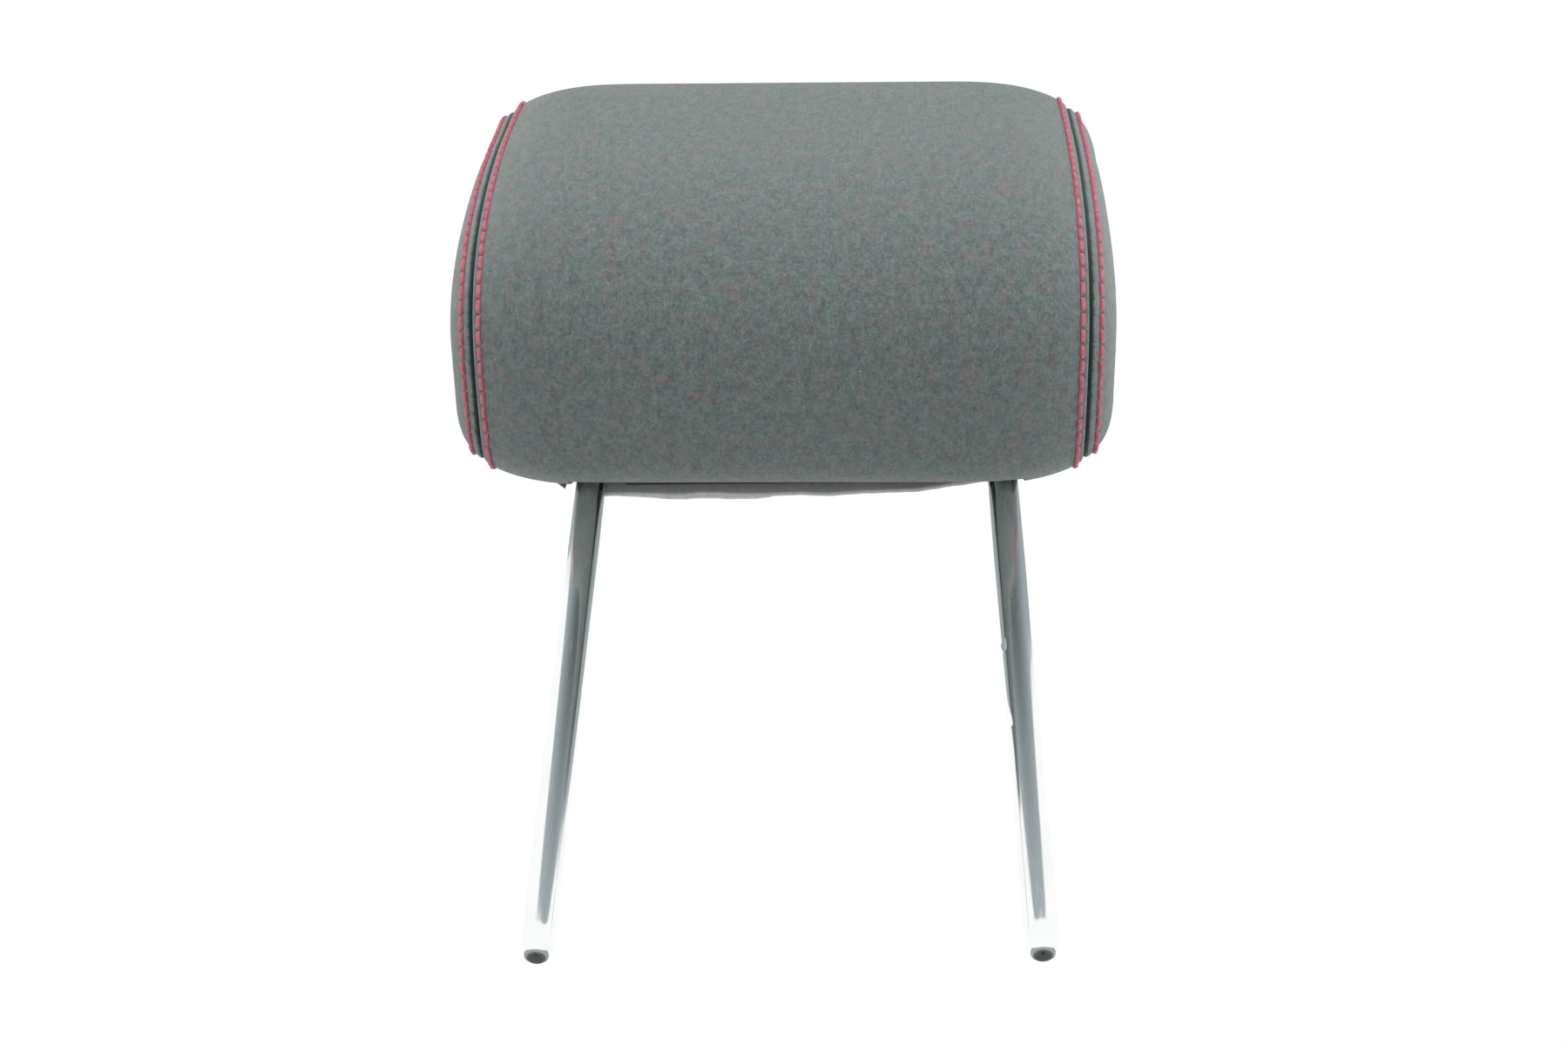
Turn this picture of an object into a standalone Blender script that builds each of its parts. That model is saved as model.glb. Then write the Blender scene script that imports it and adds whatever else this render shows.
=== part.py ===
"""Car headrest: a padded head cushion on a hoop of bent chromed tube.

The origin lies midway between the end faces of the two posts. +Z runs up the posts, -Y is the front,
where the head rests, and +X is on the right of someone who faces that front. Lengths are in metres.

The pad is a profile in the YZ plane, drawn as (forward, up) from the point midway between the posts
where they enter it, carried across the width. Towards each side the section shrinks inwards from that
profile by an inset, and the curve of inset against distance from the middle is the pad's round shoulder.
The pad sits a little to the left of the posts' middle, as the photographed one does.
"""

import math

import bmesh
import bpy
import numpy as np

# Hoop: one bent tube, whose straight legs are the posts
TUBE_RADIUS = 0.006
TUBE_WALL = 0.002
POST_SPACING = 0.168
POST_EXPOSED = 0.237
CROSSBAR_RISE = 0.112
HOOP_BEND_RADIUS = 0.030
TUBE_SIDES = 14
BEND_STEPS = 6
TIP_LENGTH = 0.011
TIP_FACE_RADIUS = 0.0036
TIP_HOLE_RADIUS = 0.0022
TIP_HOLE_DEPTH = 0.003
TIP_STEPS = 4

# Height-stop notches in the inner side of the right post
NOTCH_DEPTH = 0.0015
UPPER_NOTCH_BOTTOM = 0.1385
UPPER_NOTCH_TOP = 0.1445
LOWER_NOTCH_LEDGE = 0.100
LOWER_NOTCH_RAMP = 0.0145

# Pad: centre profile as (forward, up), starting below the posts and going up the front
PROFILE = (
    (0.008, -0.007),
    (0.036, -0.0075),
    (0.0755, 0.007),
    (0.099, 0.044),
    (0.101, 0.095),
    (0.093, 0.1395),
    (0.082, 0.176),
    (0.059, 0.193),
    (0.0115, 0.180),
    (-0.022, 0.146),
    (-0.030, 0.097),
    (-0.028, 0.048),
    (-0.011, 0.0165),
)
SPINE_FORWARD = 0.030
SPINE_BOTTOM = 0.062
SPINE_TOP = 0.128
PAD_OFFSET = -0.0042
PAD_HALF_WIDTH = 0.1345
SHOULDER_WIDTH = 0.068
SHOULDER_START = PAD_HALF_WIDTH - SHOULDER_WIDTH
SHOULDER_DEPTH = 0.046
SHOULDER_POWER = 2.85
PROFILE_STEPS = 48
SPLINE_STEPS = 1200
SHORT_STEP = 0.0001

# Cover: laminated cloth, seamed to a side panel at each end
COVER_THICKNESS = 0.0024
SEAM_FROM_EDGE = 0.0123
SEAM_ACROSS = PAD_HALF_WIDTH - SEAM_FROM_EDGE
SEAM_GAP = 0.0004
GROOVE_DEPTH = 0.0022
GROOVE_HALF_WIDTH = 0.0013
FLAP_DEPTH = 0.008
FLAP_THICKNESS = 0.0012
SOFT_CLEARANCE = 0.0004

# Decorative topstitching on both sides of each seam
STITCH_PITCH = 0.0062
ROW_FROM_SEAM = 0.004
INNER_ROW_ACROSS = SEAM_ACROSS - ROW_FROM_SEAM
OUTER_ROW_ACROSS = SEAM_ACROSS + ROW_FROM_SEAM
THREAD_RADIUS = 0.00055
THREAD_HOLE_RADIUS = 0.0002
THREAD_RISE = 1.6
THREAD_CLEARANCE = 0.0003

# Opening under the pad, between and around the posts
SLOT_HALF_DEPTH = 0.007
SLOT_POST_CLEARANCE = 0.001
SLOT_CUT_BELOW = 0.030
SLOT_CUT_ABOVE = 0.020

# Closing strips in that opening: hooked plastic profiles and the folded edge of the cover
STRIP_END_ROOM = 0.014
STRIP_HALF_LENGTH = POST_SPACING / 2.0 - STRIP_END_ROOM
STRIP_WALL = 0.0014
STRIP_PLAY = 0.0005
STRIP_BOTTOM = 0.005
STRIP_TOP = 0.0145
STRIP_SKIRT_BOTTOM = -0.003
STRIP_CHANNEL = 0.0023
HEM_THICKNESS = 0.002
HEM_BOTTOM = 0.0018
HEM_TOP = 0.015
HEM_LEFT_ROOM = 0.011
HEM_LEFT = HEM_LEFT_ROOM - POST_SPACING / 2.0
HEM_RIGHT_ROOM = 0.017
HEM_RIGHT = POST_SPACING / 2.0 - HEM_RIGHT_ROOM
HEM_TAPER = 0.018
TUCK_THICKNESS = 0.0015
TUCK_BOTTOM = -0.0031
TUCK_RIGHT = -0.002

# Core: two moulded trays screwed together round the hoop
CORE_SIDE_REACH = 0.014
CORE_HALF_WIDTH = POST_SPACING / 2.0 + CORE_SIDE_REACH
CORE_FRONT = 0.032
CORE_BACK = 0.013
CORE_BOTTOM = 0.036
CORE_TOP = 0.136
CORE_WALL = 0.0025
CORE_CORNER = 0.012
CORE_CORNER_STEPS = 3
CORE_CHAMFER = 0.003
RIB_THICKNESS = 0.002
RIB_ROOT = 0.0006
RIB_SPLIT_GAP = 0.00045
UPRIGHT_RIBS = (-0.040, 0.0, 0.040)
LEVEL_RIBS = (0.050, 0.084)
RIGID_GAP = 0.0003
CHANNEL_RADIUS = TUBE_RADIUS / math.cos(math.pi / TUBE_SIDES) + RIGID_GAP

# Screws that hold the two halves of the core together
SCREW_PLACES = ((-0.064, 0.064), (0.064, 0.064), (-0.020, 0.064), (0.020, 0.064))
SCREW_RADIUS = 0.002
SCREW_TIP_RADIUS = 0.001
SCREW_HEAD_RADIUS = 0.004
SCREW_CROWN_RADIUS = 0.0024
SCREW_HEAD_HEIGHT = 0.0022
SCREW_LENGTH = 0.020
SCREW_SEAT_DEPTH = 0.005
SCREW_SIDES = 10
BOSS_RADIUS = 0.0062
BOSS_SIDES = 12


def clear_scene():
    """Empty the file that the script runs in."""
    for old in list(bpy.data.objects):
        bpy.data.objects.remove(old, do_unlink=True)


def material(name, colour, roughness, metallic=0.0):
    """A plain Principled surface."""
    made = bpy.data.materials.new(name)
    made.use_nodes = True
    shader = made.node_tree.nodes["Principled BSDF"]
    shader.inputs["Base Color"].default_value = (*colour, 1.0)
    shader.inputs["Roughness"].default_value = roughness
    shader.inputs["Metallic"].default_value = metallic
    return made


def place(forward, up, across):
    """Points of the pad's own measures, (forward, up) from the posts' entry, as world coordinates."""
    forward, up, across = np.broadcast_arrays(forward, up, across)
    return np.stack([across, -forward, POST_EXPOSED + up], axis=-1)


def solid(name, points, faces, finish, sharp_degrees=40.0):
    """One object from points and faces, its faces turned outwards and its round faces shaded smooth."""
    mesh = bpy.data.meshes.new(name)
    mesh.from_pydata([tuple(point) for point in points], [], [tuple(face) for face in faces])
    work = bmesh.new()
    work.from_mesh(mesh)
    if work.calc_volume(signed=True) < 0.0:
        bmesh.ops.reverse_faces(work, faces=work.faces)
    work.to_mesh(mesh)
    work.free()
    mesh.materials.append(finish)
    mesh.shade_smooth()
    mesh.set_sharp_from_angle(angle=math.radians(sharp_degrees))
    made = bpy.data.objects.new(name, mesh)
    bpy.context.scene.collection.objects.link(made)
    return made


def skin(rings, closed_rows=False, closed_ring=True, caps=False):
    """Quads over an array of rings (rows, points, 3); caps fills the first and the last ring."""
    rows, count = rings.shape[:2]
    row = np.arange(rows if closed_rows else rows - 1)[:, None]
    col = np.arange(count if closed_ring else count - 1)[None, :]
    next_row, next_col = (row + 1) % rows, (col + 1) % count
    corners = (row * count + col, row * count + next_col, next_row * count + next_col, next_row * count + col)
    faces = np.stack(corners, axis=-1).reshape(-1, 4).tolist()
    if caps:
        faces.append(list(range(count))[::-1])
        faces.append(list(range((rows - 1) * count, rows * count)))
    return rings.reshape(-1, 3), faces


def box(name, low, high, finish):
    """A plain block between two corners."""
    (x0, y0, z0), (x1, y1, z1) = low, high
    bottom = np.array([(x0, y0, z0), (x1, y0, z0), (x1, y1, z0), (x0, y1, z0)])
    top = bottom + np.array((0.0, 0.0, z1 - z0))
    return solid(name, *skin(np.stack([bottom, top]), caps=True), finish)


def combine(target, other, operation, sharp_degrees=40.0):
    """Join the other solid to the target, or cut it out, and drop it."""
    step = target.modifiers.new(operation.title(), "BOOLEAN")
    step.operation = operation
    step.solver = "EXACT"
    step.object = other
    graph = bpy.context.evaluated_depsgraph_get()
    old = target.data
    target.data = bpy.data.meshes.new_from_object(target.evaluated_get(graph))
    target.modifiers.clear()
    target.data.name = target.name
    bpy.data.meshes.remove(old)
    bpy.data.objects.remove(other, do_unlink=True)
    target.data.shade_smooth()
    target.data.set_sharp_from_angle(angle=math.radians(sharp_degrees))


def turned(name, stations, foot, finish, sides, sharp_degrees=40.0):
    """A solid of revolution whose axis runs along +Y, from (distance along the axis, radius) stations."""
    angle = np.linspace(0.0, 2.0 * math.pi, sides, endpoint=False)
    ring = np.stack([np.cos(angle), np.zeros(sides), np.sin(angle)], axis=-1)
    along = np.array((0.0, 1.0, 0.0))
    rings = np.stack([np.array(foot) + along * station + ring * radius for station, radius in stations])
    return solid(name, *skin(rings, caps=True), finish, sharp_degrees)


# Hoop


def hoop_path(start_height):
    """Centre line up the left leg, over the crossbar and down the right leg, with round corners."""
    half, radius = POST_SPACING / 2.0, HOOP_BEND_RADIUS
    top = POST_EXPOSED + CROSSBAR_RISE
    angle = np.linspace(0.0, math.pi / 2.0, BEND_STEPS + 1)
    across = radius * (1.0 - np.cos(angle)) - half
    height = top - radius * (1.0 - np.sin(angle))
    left = np.stack([across, np.zeros(len(angle)), height], axis=-1)
    right = (left * np.array((-1.0, 1.0, 1.0)))[::-1]
    ends = np.array([(-half, 0.0, start_height), (half, 0.0, start_height)])
    return np.concatenate([ends[:1], left, right, ends[1:]])


def tube_rings(path, radii, sides):
    """A ring round each point of a path in the XZ plane, square to its direction."""
    ahead = np.diff(path, axis=0)
    ahead /= np.linalg.norm(ahead, axis=1, keepdims=True)
    tangent = np.concatenate([ahead[:1], ahead[:-1] + ahead[1:], ahead[-1:]])
    tangent /= np.linalg.norm(tangent, axis=1, keepdims=True)
    level = np.array((0.0, 1.0, 0.0))
    inward = np.cross(tangent, level)
    angle = np.linspace(0.0, 2.0 * math.pi, sides, endpoint=False) + math.pi / sides
    ring = np.cos(angle)[None, :, None] * inward[:, None, :] + np.sin(angle)[None, :, None] * level
    return path[:, None, :] + ring * np.asarray(radii)[:, None, None]


def with_ends(path, heights):
    """The hoop's centre line with its two ends carried down through the given heights."""
    half = POST_SPACING / 2.0
    left = np.stack([np.full(len(heights), -half), np.zeros(len(heights)), heights], axis=-1)
    right = (left * np.array((-1.0, 1.0, 1.0)))[::-1]
    return np.concatenate([left, path[1:-1], right])


def tube_surface(heights, radii, body_radius):
    """Rings of one wall of the tube: the ends follow (height, radius) pairs, and the rest has one radius."""
    path = with_ends(hoop_path(TIP_LENGTH), np.array(heights))
    middle = np.full(len(path) - 2 * len(radii), body_radius)
    return tube_rings(path, np.concatenate([radii, middle, radii[::-1]]), TUBE_SIDES)


def make_hoop(finish):
    """Bent tube with swaged round ends, open at the ends, notched on the right post."""
    sweep = np.linspace(0.0, math.pi / 2.0, TIP_STEPS + 1)
    outer_heights = TIP_LENGTH * (1.0 - np.cos(sweep))
    outer_radii = TIP_FACE_RADIUS + (TUBE_RADIUS - TIP_FACE_RADIUS) * np.sin(sweep)
    bore = TUBE_RADIUS - TUBE_WALL
    inner_heights = np.array((0.0, TIP_HOLE_DEPTH, TIP_LENGTH))
    inner_radii = np.array((TIP_HOLE_RADIUS, TIP_HOLE_RADIUS, bore))
    outer = tube_surface(outer_heights, outer_radii, TUBE_RADIUS)
    inner = tube_surface(inner_heights, inner_radii, bore)
    rings = np.concatenate([outer, inner[::-1]])
    hoop = solid("post_hoop", *skin(rings, closed_rows=True), finish)
    for cutter in make_notch_cutters(finish):
        combine(hoop, cutter, "DIFFERENCE")
    return hoop


def make_notch_cutters(finish):
    """A square notch, and below it one whose floor ramps down to a square ledge."""
    surface = POST_SPACING / 2.0 - TUBE_RADIUS
    floor, outside, reach = surface + NOTCH_DEPTH, surface - TUBE_RADIUS, 2.0 * TUBE_RADIUS
    upper = [
        (outside, UPPER_NOTCH_BOTTOM),
        (floor, UPPER_NOTCH_BOTTOM),
        (floor, UPPER_NOTCH_TOP),
        (outside, UPPER_NOTCH_TOP),
    ]
    ramp_top = LOWER_NOTCH_LEDGE + LOWER_NOTCH_RAMP
    lower = [
        (outside, LOWER_NOTCH_LEDGE),
        (floor, LOWER_NOTCH_LEDGE),
        (surface, ramp_top),
        (outside, ramp_top),
    ]
    cutters = []
    for number, outline in enumerate((upper, lower)):
        back = np.array([(across, reach, height) for across, height in outline])
        front = back * np.array((1.0, -1.0, 1.0))
        cutters.append(solid(f"notch_cutter_{number}", *skin(np.stack([front, back]), caps=True), finish))
    return cutters


# Pad surface


def closed_spline(knots, count):
    """Closed cubic curve through the knots, with continuous bending, as count points."""
    knots = np.array(knots)
    size = len(knots)
    system = 4.0 * np.eye(size) + np.roll(np.eye(size), 1, axis=0) + np.roll(np.eye(size), -1, axis=0)
    slopes = np.linalg.solve(system, 3.0 * (np.roll(knots, -1, axis=0) - np.roll(knots, 1, axis=0)))
    where = np.arange(count) * size / count
    first = where.astype(int)
    second = (first + 1) % size
    part = (where - first)[:, None]
    square, cube = part**2, part**3
    return (
        (2 * cube - 3 * square + 1) * knots[first]
        + (cube - 2 * square + part) * slopes[first]
        + (3 * square - 2 * cube) * knots[second]
        + (cube - square) * slopes[second]
    )


def profile_frame(count):
    """Points of the centre profile, closer together where it bends, and the ways out from the spine."""
    fine = closed_spline(PROFILE, SPLINE_STEPS)
    chord = np.roll(fine, -1, axis=0) - fine
    length = np.linalg.norm(chord, axis=1)
    turn = np.arctan2(chord[:, 1], chord[:, 0])
    bend = np.abs((np.roll(turn, -1) - turn + math.pi) % (2.0 * math.pi) - math.pi)
    weight = length / length.sum() + bend / bend.sum()
    along = np.concatenate([[0.0], np.cumsum(weight)])
    wanted = np.linspace(0.0, along[-1], count, endpoint=False)
    loop = np.concatenate([fine, fine[:1]])
    points = np.stack([np.interp(wanted, along, loop[:, axis]) for axis in (0, 1)], axis=-1)
    spine = np.stack([np.full(count, SPINE_FORWARD), np.clip(points[:, 1], SPINE_BOTTOM, SPINE_TOP)], axis=-1)
    outward = points - spine
    return points, outward / np.linalg.norm(outward, axis=1, keepdims=True)


def shoulder_angle(across):
    """Parameter of the shoulder curve, 0 where it starts and a quarter turn at the pad's widest."""
    share = (across - SHOULDER_START) / (PAD_HALF_WIDTH - SHOULDER_START)
    return math.asin(min(max(share, 0.0), 1.0) ** (SHOULDER_POWER / 2.0))


def shoulder_point(angle, below=0.0):
    """(distance from the middle, inset) on the shoulder, or a depth below it square to the curve."""

    def curve(turn):
        across = SHOULDER_START + (PAD_HALF_WIDTH - SHOULDER_START) * math.sin(turn) ** (2.0 / SHOULDER_POWER)
        return np.array((across, SHOULDER_DEPTH * (1.0 - math.cos(turn) ** (2.0 / SHOULDER_POWER))))

    run = curve(min(angle + SHORT_STEP, math.pi / 2.0)) - curve(max(angle - SHORT_STEP, 0.0))
    run /= np.linalg.norm(run)
    return curve(angle) - below * np.array((run[1], -run[0]))


def shoulder_run(start, end, count, below=0.0):
    """Points of the shoulder between two distances from the middle, evenly spread in its parameter."""
    angles = np.linspace(shoulder_angle(start), shoulder_angle(end), count)
    return [shoulder_point(angle, below) for angle in angles]


def seam_frame():
    """The seam's point on the shoulder, the direction from there away from the middle, and inwards."""
    angle = shoulder_angle(SEAM_ACROSS)
    seam = shoulder_point(angle)
    inwards = (shoulder_point(angle, SHORT_STEP) - seam) / SHORT_STEP
    return seam, np.array((inwards[1], -inwards[0])), inwards


def flap(side):
    """Turned-in edge of a panel at the seam, from the groove's bottom to the inner face; side is -1 or 1."""
    seam, along, inwards = seam_frame()
    near = seam + along * side * SEAM_GAP / 2.0
    far = near + along * side * FLAP_THICKNESS
    return [
        near + inwards * GROOVE_DEPTH,
        near + inwards * FLAP_DEPTH,
        far + inwards * FLAP_DEPTH,
        far + inwards * COVER_THICKNESS,
    ]


def swept(section, count=PROFILE_STEPS):
    """Rings of a section of (distance from the middle, inset) points carried round the profile."""
    points, outward = profile_frame(count)
    across, inset = np.array(section).T
    inner = points[:, None, :] - outward[:, None, :] * inset[None, :, None]
    return place(inner[..., 0], inner[..., 1], across[None, :] + PAD_OFFSET)


def make_centre_panel(finish):
    """Belt of cloth round the front, top, back and underside, slotted below for the posts."""
    lip = SEAM_ACROSS - GROOVE_HALF_WIDTH
    inner_end = SEAM_ACROSS - 2.0 * COVER_THICKNESS
    outer = [*shoulder_run(SHOULDER_START, INNER_ROW_ACROSS, 4), *shoulder_run(lip, lip, 1)]
    inner = shoulder_run(inner_end, SHOULDER_START, 3, COVER_THICKNESS)
    half = [*outer, *flap(-1), *inner]
    mirrored = [point * np.array((-1.0, 1.0)) for point in half[::-1]]
    panel = solid("cover_centre_panel", *skin(swept([*mirrored, *half]), closed_rows=True), finish)
    slot_half = POST_SPACING / 2.0 + TUBE_RADIUS + SLOT_POST_CLEARANCE
    low = place(SLOT_HALF_DEPTH, -SLOT_CUT_BELOW, -slot_half)
    high = place(-SLOT_HALF_DEPTH, SLOT_CUT_ABOVE, slot_half)
    combine(panel, box("slot_cutter", low, high, finish), "DIFFERENCE")
    return panel


def make_side_panel(name, side, finish):
    """Domed end panel with its turned-in edge; side is -1 for the left one and 1 for the right one."""
    lip = SEAM_ACROSS + GROOVE_HALF_WIDTH
    inner_start = SEAM_ACROSS + 2.0 * COVER_THICKNESS
    outer = [*shoulder_run(PAD_HALF_WIDTH, OUTER_ROW_ACROSS, 4), *shoulder_run(lip, lip, 1)]
    inner = shoulder_run(inner_start, PAD_HALF_WIDTH, 3, COVER_THICKNESS)
    section = [point * np.array((side, 1.0)) for point in (*outer, *flap(1), *inner)]
    return solid(name, *skin(swept(section).transpose(1, 0, 2), caps=True), finish)


def make_foam(finish):
    """Moulded pad under the cover, trenched for the seams, with room for the core and the posts."""
    depth = COVER_THICKNESS + SOFT_CLEARANCE
    seam, along, inwards = seam_frame()
    reach = SEAM_GAP / 2.0 + FLAP_THICKNESS + SOFT_CLEARANCE
    trench = [
        seam - along * reach + inwards * depth,
        seam - along * reach + inwards * (FLAP_DEPTH + SOFT_CLEARANCE),
        seam + along * reach + inwards * (FLAP_DEPTH + SOFT_CLEARANCE),
        seam + along * reach + inwards * depth,
    ]
    inner_end, outer_start = SEAM_ACROSS - 2.0 * COVER_THICKNESS, SEAM_ACROSS + 2.0 * COVER_THICKNESS
    half = [
        *shoulder_run(SHOULDER_START, inner_end, 3, depth),
        *trench,
        *shoulder_run(outer_start, PAD_HALF_WIDTH, 3, depth),
    ]
    mirrored = [point * np.array((-1.0, 1.0)) for point in half[::-1]]
    foam = solid("foam_pad", *skin(swept([*mirrored, *half]).transpose(1, 0, 2), caps=True), finish)
    gap = SOFT_CLEARANCE
    low = place(CORE_FRONT + gap, CORE_BOTTOM - gap, -CORE_HALF_WIDTH - gap)
    high = place(-CORE_BACK - gap, CORE_TOP + gap, CORE_HALF_WIDTH + gap)
    combine(foam, box("core_space_cutter", low, high, finish), "DIFFERENCE")
    hole_half = TUBE_RADIUS + SLOT_POST_CLEARANCE
    slot_half = POST_SPACING / 2.0 + hole_half + gap
    low = place(SLOT_HALF_DEPTH + gap, -SLOT_CUT_BELOW, -slot_half)
    high = place(-SLOT_HALF_DEPTH - gap, HEM_TOP + gap, slot_half)
    combine(foam, box("foam_slot_cutter", low, high, finish), "DIFFERENCE")
    for number, across in enumerate((-POST_SPACING / 2.0, POST_SPACING / 2.0)):
        low = place(hole_half, HEM_TOP, across - hole_half)
        high = place(-hole_half, CORE_BOTTOM, across + hole_half)
        combine(foam, box(f"post_hole_cutter_{number}", low, high, finish), "DIFFERENCE")
    return foam


# Stitching


def make_stitch_row(name, side, across, finish):
    """One row of topstitching: a closed chain of thread, thin where it enters the cloth."""
    angle = shoulder_angle(across)
    surface = shoulder_point(angle)
    outwards = surface - shoulder_point(angle, SHORT_STEP)
    outwards /= np.linalg.norm(outwards)
    points, away = profile_frame(PROFILE_STEPS)
    rail = points - away * surface[1]
    loop = np.concatenate([rail, rail[:1]])
    along = np.concatenate([[0.0], np.cumsum(np.linalg.norm(np.diff(loop, axis=0), axis=1))])
    stitches = round(along[-1] / STITCH_PITCH)
    wanted = np.linspace(0.0, along[-1], 2 * stitches, endpoint=False)
    path = np.stack([np.interp(wanted, along, loop[:, axis]) for axis in (0, 1)], axis=-1)
    lean_loop = np.concatenate([away, away[:1]])
    lean = np.stack([np.interp(wanted, along, lean_loop[:, axis]) for axis in (0, 1)], axis=-1)
    lean /= np.linalg.norm(lean, axis=1, keepdims=True)
    sideways_part = np.full(len(lean), side * outwards[0])
    normal = np.stack([sideways_part, outwards[1] * lean[:, 0], -outwards[1] * lean[:, 1]], axis=-1)
    base = place(path[:, 0], path[:, 1], side * surface[0] + PAD_OFFSET)
    ahead = np.roll(base, -1, axis=0) - np.roll(base, 1, axis=0)
    ahead /= np.linalg.norm(ahead, axis=1, keepdims=True)
    sideways = np.cross(ahead, normal)
    sideways /= np.linalg.norm(sideways, axis=1, keepdims=True)
    radius = np.where(np.arange(2 * stitches) % 2 == 0, THREAD_HOLE_RADIUS, THREAD_RADIUS)[:, None]
    foot = base + normal * THREAD_CLEARANCE
    crest = foot + normal * THREAD_RISE * radius
    rings = np.stack([foot - sideways * radius, crest, foot + sideways * radius], axis=1)
    return solid(name, *skin(rings, closed_rows=True), finish, 60.0)


# Closing strips


def extruded(name, outline, left, right, finish):
    """A (forward, up) outline carried straight across the pad from left to right."""
    flat = np.array(outline)
    ends = [place(flat[:, 0], flat[:, 1], across) for across in (left, right)]
    return solid(name, *skin(np.stack(ends), caps=True), finish)


def make_hook_strips(finish):
    """Two plastic profiles of J section, sewn to the cover's edges and hooked into each other."""
    wall = STRIP_WALL
    front_leg = SLOT_HALF_DEPTH - STRIP_PLAY
    hem_face = -SLOT_HALF_DEPTH + RIGID_GAP + HEM_THICKNESS + RIGID_GAP + TUCK_THICKNESS
    rear_leg = hem_face + RIGID_GAP
    inner = rear_leg + wall
    hook = inner + STRIP_CHANNEL
    drop = inner + STRIP_PLAY
    floor, lid = STRIP_BOTTOM + wall, STRIP_TOP - wall
    rear = [
        (rear_leg, STRIP_BOTTOM),
        (hook + wall, STRIP_BOTTOM),
        (hook + wall, floor + 2 * wall),
        (hook, floor + 2 * wall),
        (hook, floor),
        (inner, floor),
        (inner, lid - STRIP_PLAY),
        (rear_leg, lid - STRIP_PLAY),
    ]
    front = [
        (front_leg, STRIP_SKIRT_BOTTOM),
        (front_leg, STRIP_TOP),
        (drop, STRIP_TOP),
        (drop, floor + STRIP_PLAY),
        (drop + wall, floor + STRIP_PLAY),
        (drop + wall, lid),
        (front_leg - wall, lid),
        (front_leg - wall, STRIP_SKIRT_BOTTOM),
    ]
    extruded("closure_rear_strip", rear, -STRIP_HALF_LENGTH, STRIP_HALF_LENGTH, finish)
    extruded("closure_front_strip", front, -STRIP_HALF_LENGTH, STRIP_HALF_LENGTH, finish)


def make_hems(finish):
    """Folded edge of the cover behind the posts, pointed at the right, and its doubled left half."""
    back = -SLOT_HALF_DEPTH + RIGID_GAP
    front = back + HEM_THICKNESS
    middle, fold = (back + front) / 2.0, HEM_THICKNESS / 4.0
    stations = (
        (HEM_LEFT, HEM_BOTTOM),
        (HEM_RIGHT - HEM_TAPER, HEM_BOTTOM),
        (HEM_RIGHT, HEM_TOP - HEM_THICKNESS),
    )
    rings = []
    for across, bottom in stations:
        forward = np.array((back, back, middle, front, front))
        up = np.array((HEM_TOP, bottom, bottom - fold, bottom, HEM_TOP))
        rings.append(place(forward, up, across))
    solid("closure_hem", *skin(np.stack(rings), caps=True), finish)
    tuck_back = front + RIGID_GAP
    tuck_front = tuck_back + TUCK_THICKNESS
    tuck = (
        (tuck_back, HEM_TOP),
        (tuck_back, TUCK_BOTTOM),
        (tuck_front, TUCK_BOTTOM + TUCK_THICKNESS / 2.0),
        (tuck_front, HEM_TOP),
    )
    extruded("closure_tuck", tuck, HEM_LEFT, TUCK_RIGHT, finish)


# Core


def rounded_outline(half_width, low, high, corner):
    """Rounded rectangle in (across, up), anticlockwise."""
    angle = np.linspace(0.0, math.pi / 2.0, CORE_CORNER_STEPS + 1)
    quarter = np.stack([np.cos(angle), np.sin(angle)], axis=-1) * corner
    right, left = half_width - corner, corner - half_width
    top, bottom = high - corner, low + corner
    turned_once = quarter[:, ::-1] * np.array((-1.0, 1.0))
    return np.concatenate([
        quarter + (right, top),
        turned_once + (left, top),
        -quarter + (left, bottom),
        -turned_once + (right, bottom),
    ])


def core_ring(inset, forward):
    """The core's outline, drawn in by an inset, at a distance forward of the tube's axis."""
    low, high = CORE_BOTTOM + inset, CORE_TOP - inset
    outline = rounded_outline(CORE_HALF_WIDTH - inset, low, high, CORE_CORNER - inset)
    return place(forward, outline[:, 1], outline[:, 0])


def make_tray(name, facing, depth, finish):
    """Half of the core: an open tray from the split at the tube's axis to its floor; facing 1 is front."""
    split = facing * RIGID_GAP / 2.0
    floor = facing * depth
    rings = np.stack([
        core_ring(CORE_CHAMFER, floor),
        core_ring(0.0, floor - facing * CORE_CHAMFER),
        core_ring(0.0, split),
        core_ring(CORE_WALL, split),
        core_ring(CORE_WALL, floor - facing * (CORE_WALL + CORE_CHAMFER)),
        core_ring(CORE_WALL + CORE_CHAMFER, floor - facing * CORE_WALL),
    ])
    tray = solid(name, *skin(rings, caps=True), finish, 30.0)
    for rib in make_ribs(facing, depth, finish):
        combine(tray, rib, "UNION", 30.0)
    for boss in make_bosses(facing, depth, finish):
        combine(tray, boss, "UNION", 30.0)
    combine(tray, make_tube_cutter(finish), "DIFFERENCE", 30.0)
    return tray


def make_ribs(facing, depth, finish):
    """Upright ribs under the crossbar and level ribs behind the legs, rooted in the tray's walls."""
    root = CORE_WALL - RIB_ROOT
    ends = (facing * RIB_SPLIT_GAP, facing * (depth - root))
    back, front = min(ends), max(ends)
    half = RIB_THICKNESS / 2.0
    ribs = []
    for number, across in enumerate(UPRIGHT_RIBS):
        low = place(front, CORE_BOTTOM + root, across - half)
        high = place(back, CORE_TOP - root, across + half)
        ribs.append(box(f"upright_rib_{number}", low, high, finish))
    for number, level in enumerate(LEVEL_RIBS):
        low = place(front, level - half, -CORE_HALF_WIDTH + root)
        high = place(back, level + half, CORE_HALF_WIDTH - root)
        ribs.append(box(f"level_rib_{number}", low, high, finish))
    return ribs


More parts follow.
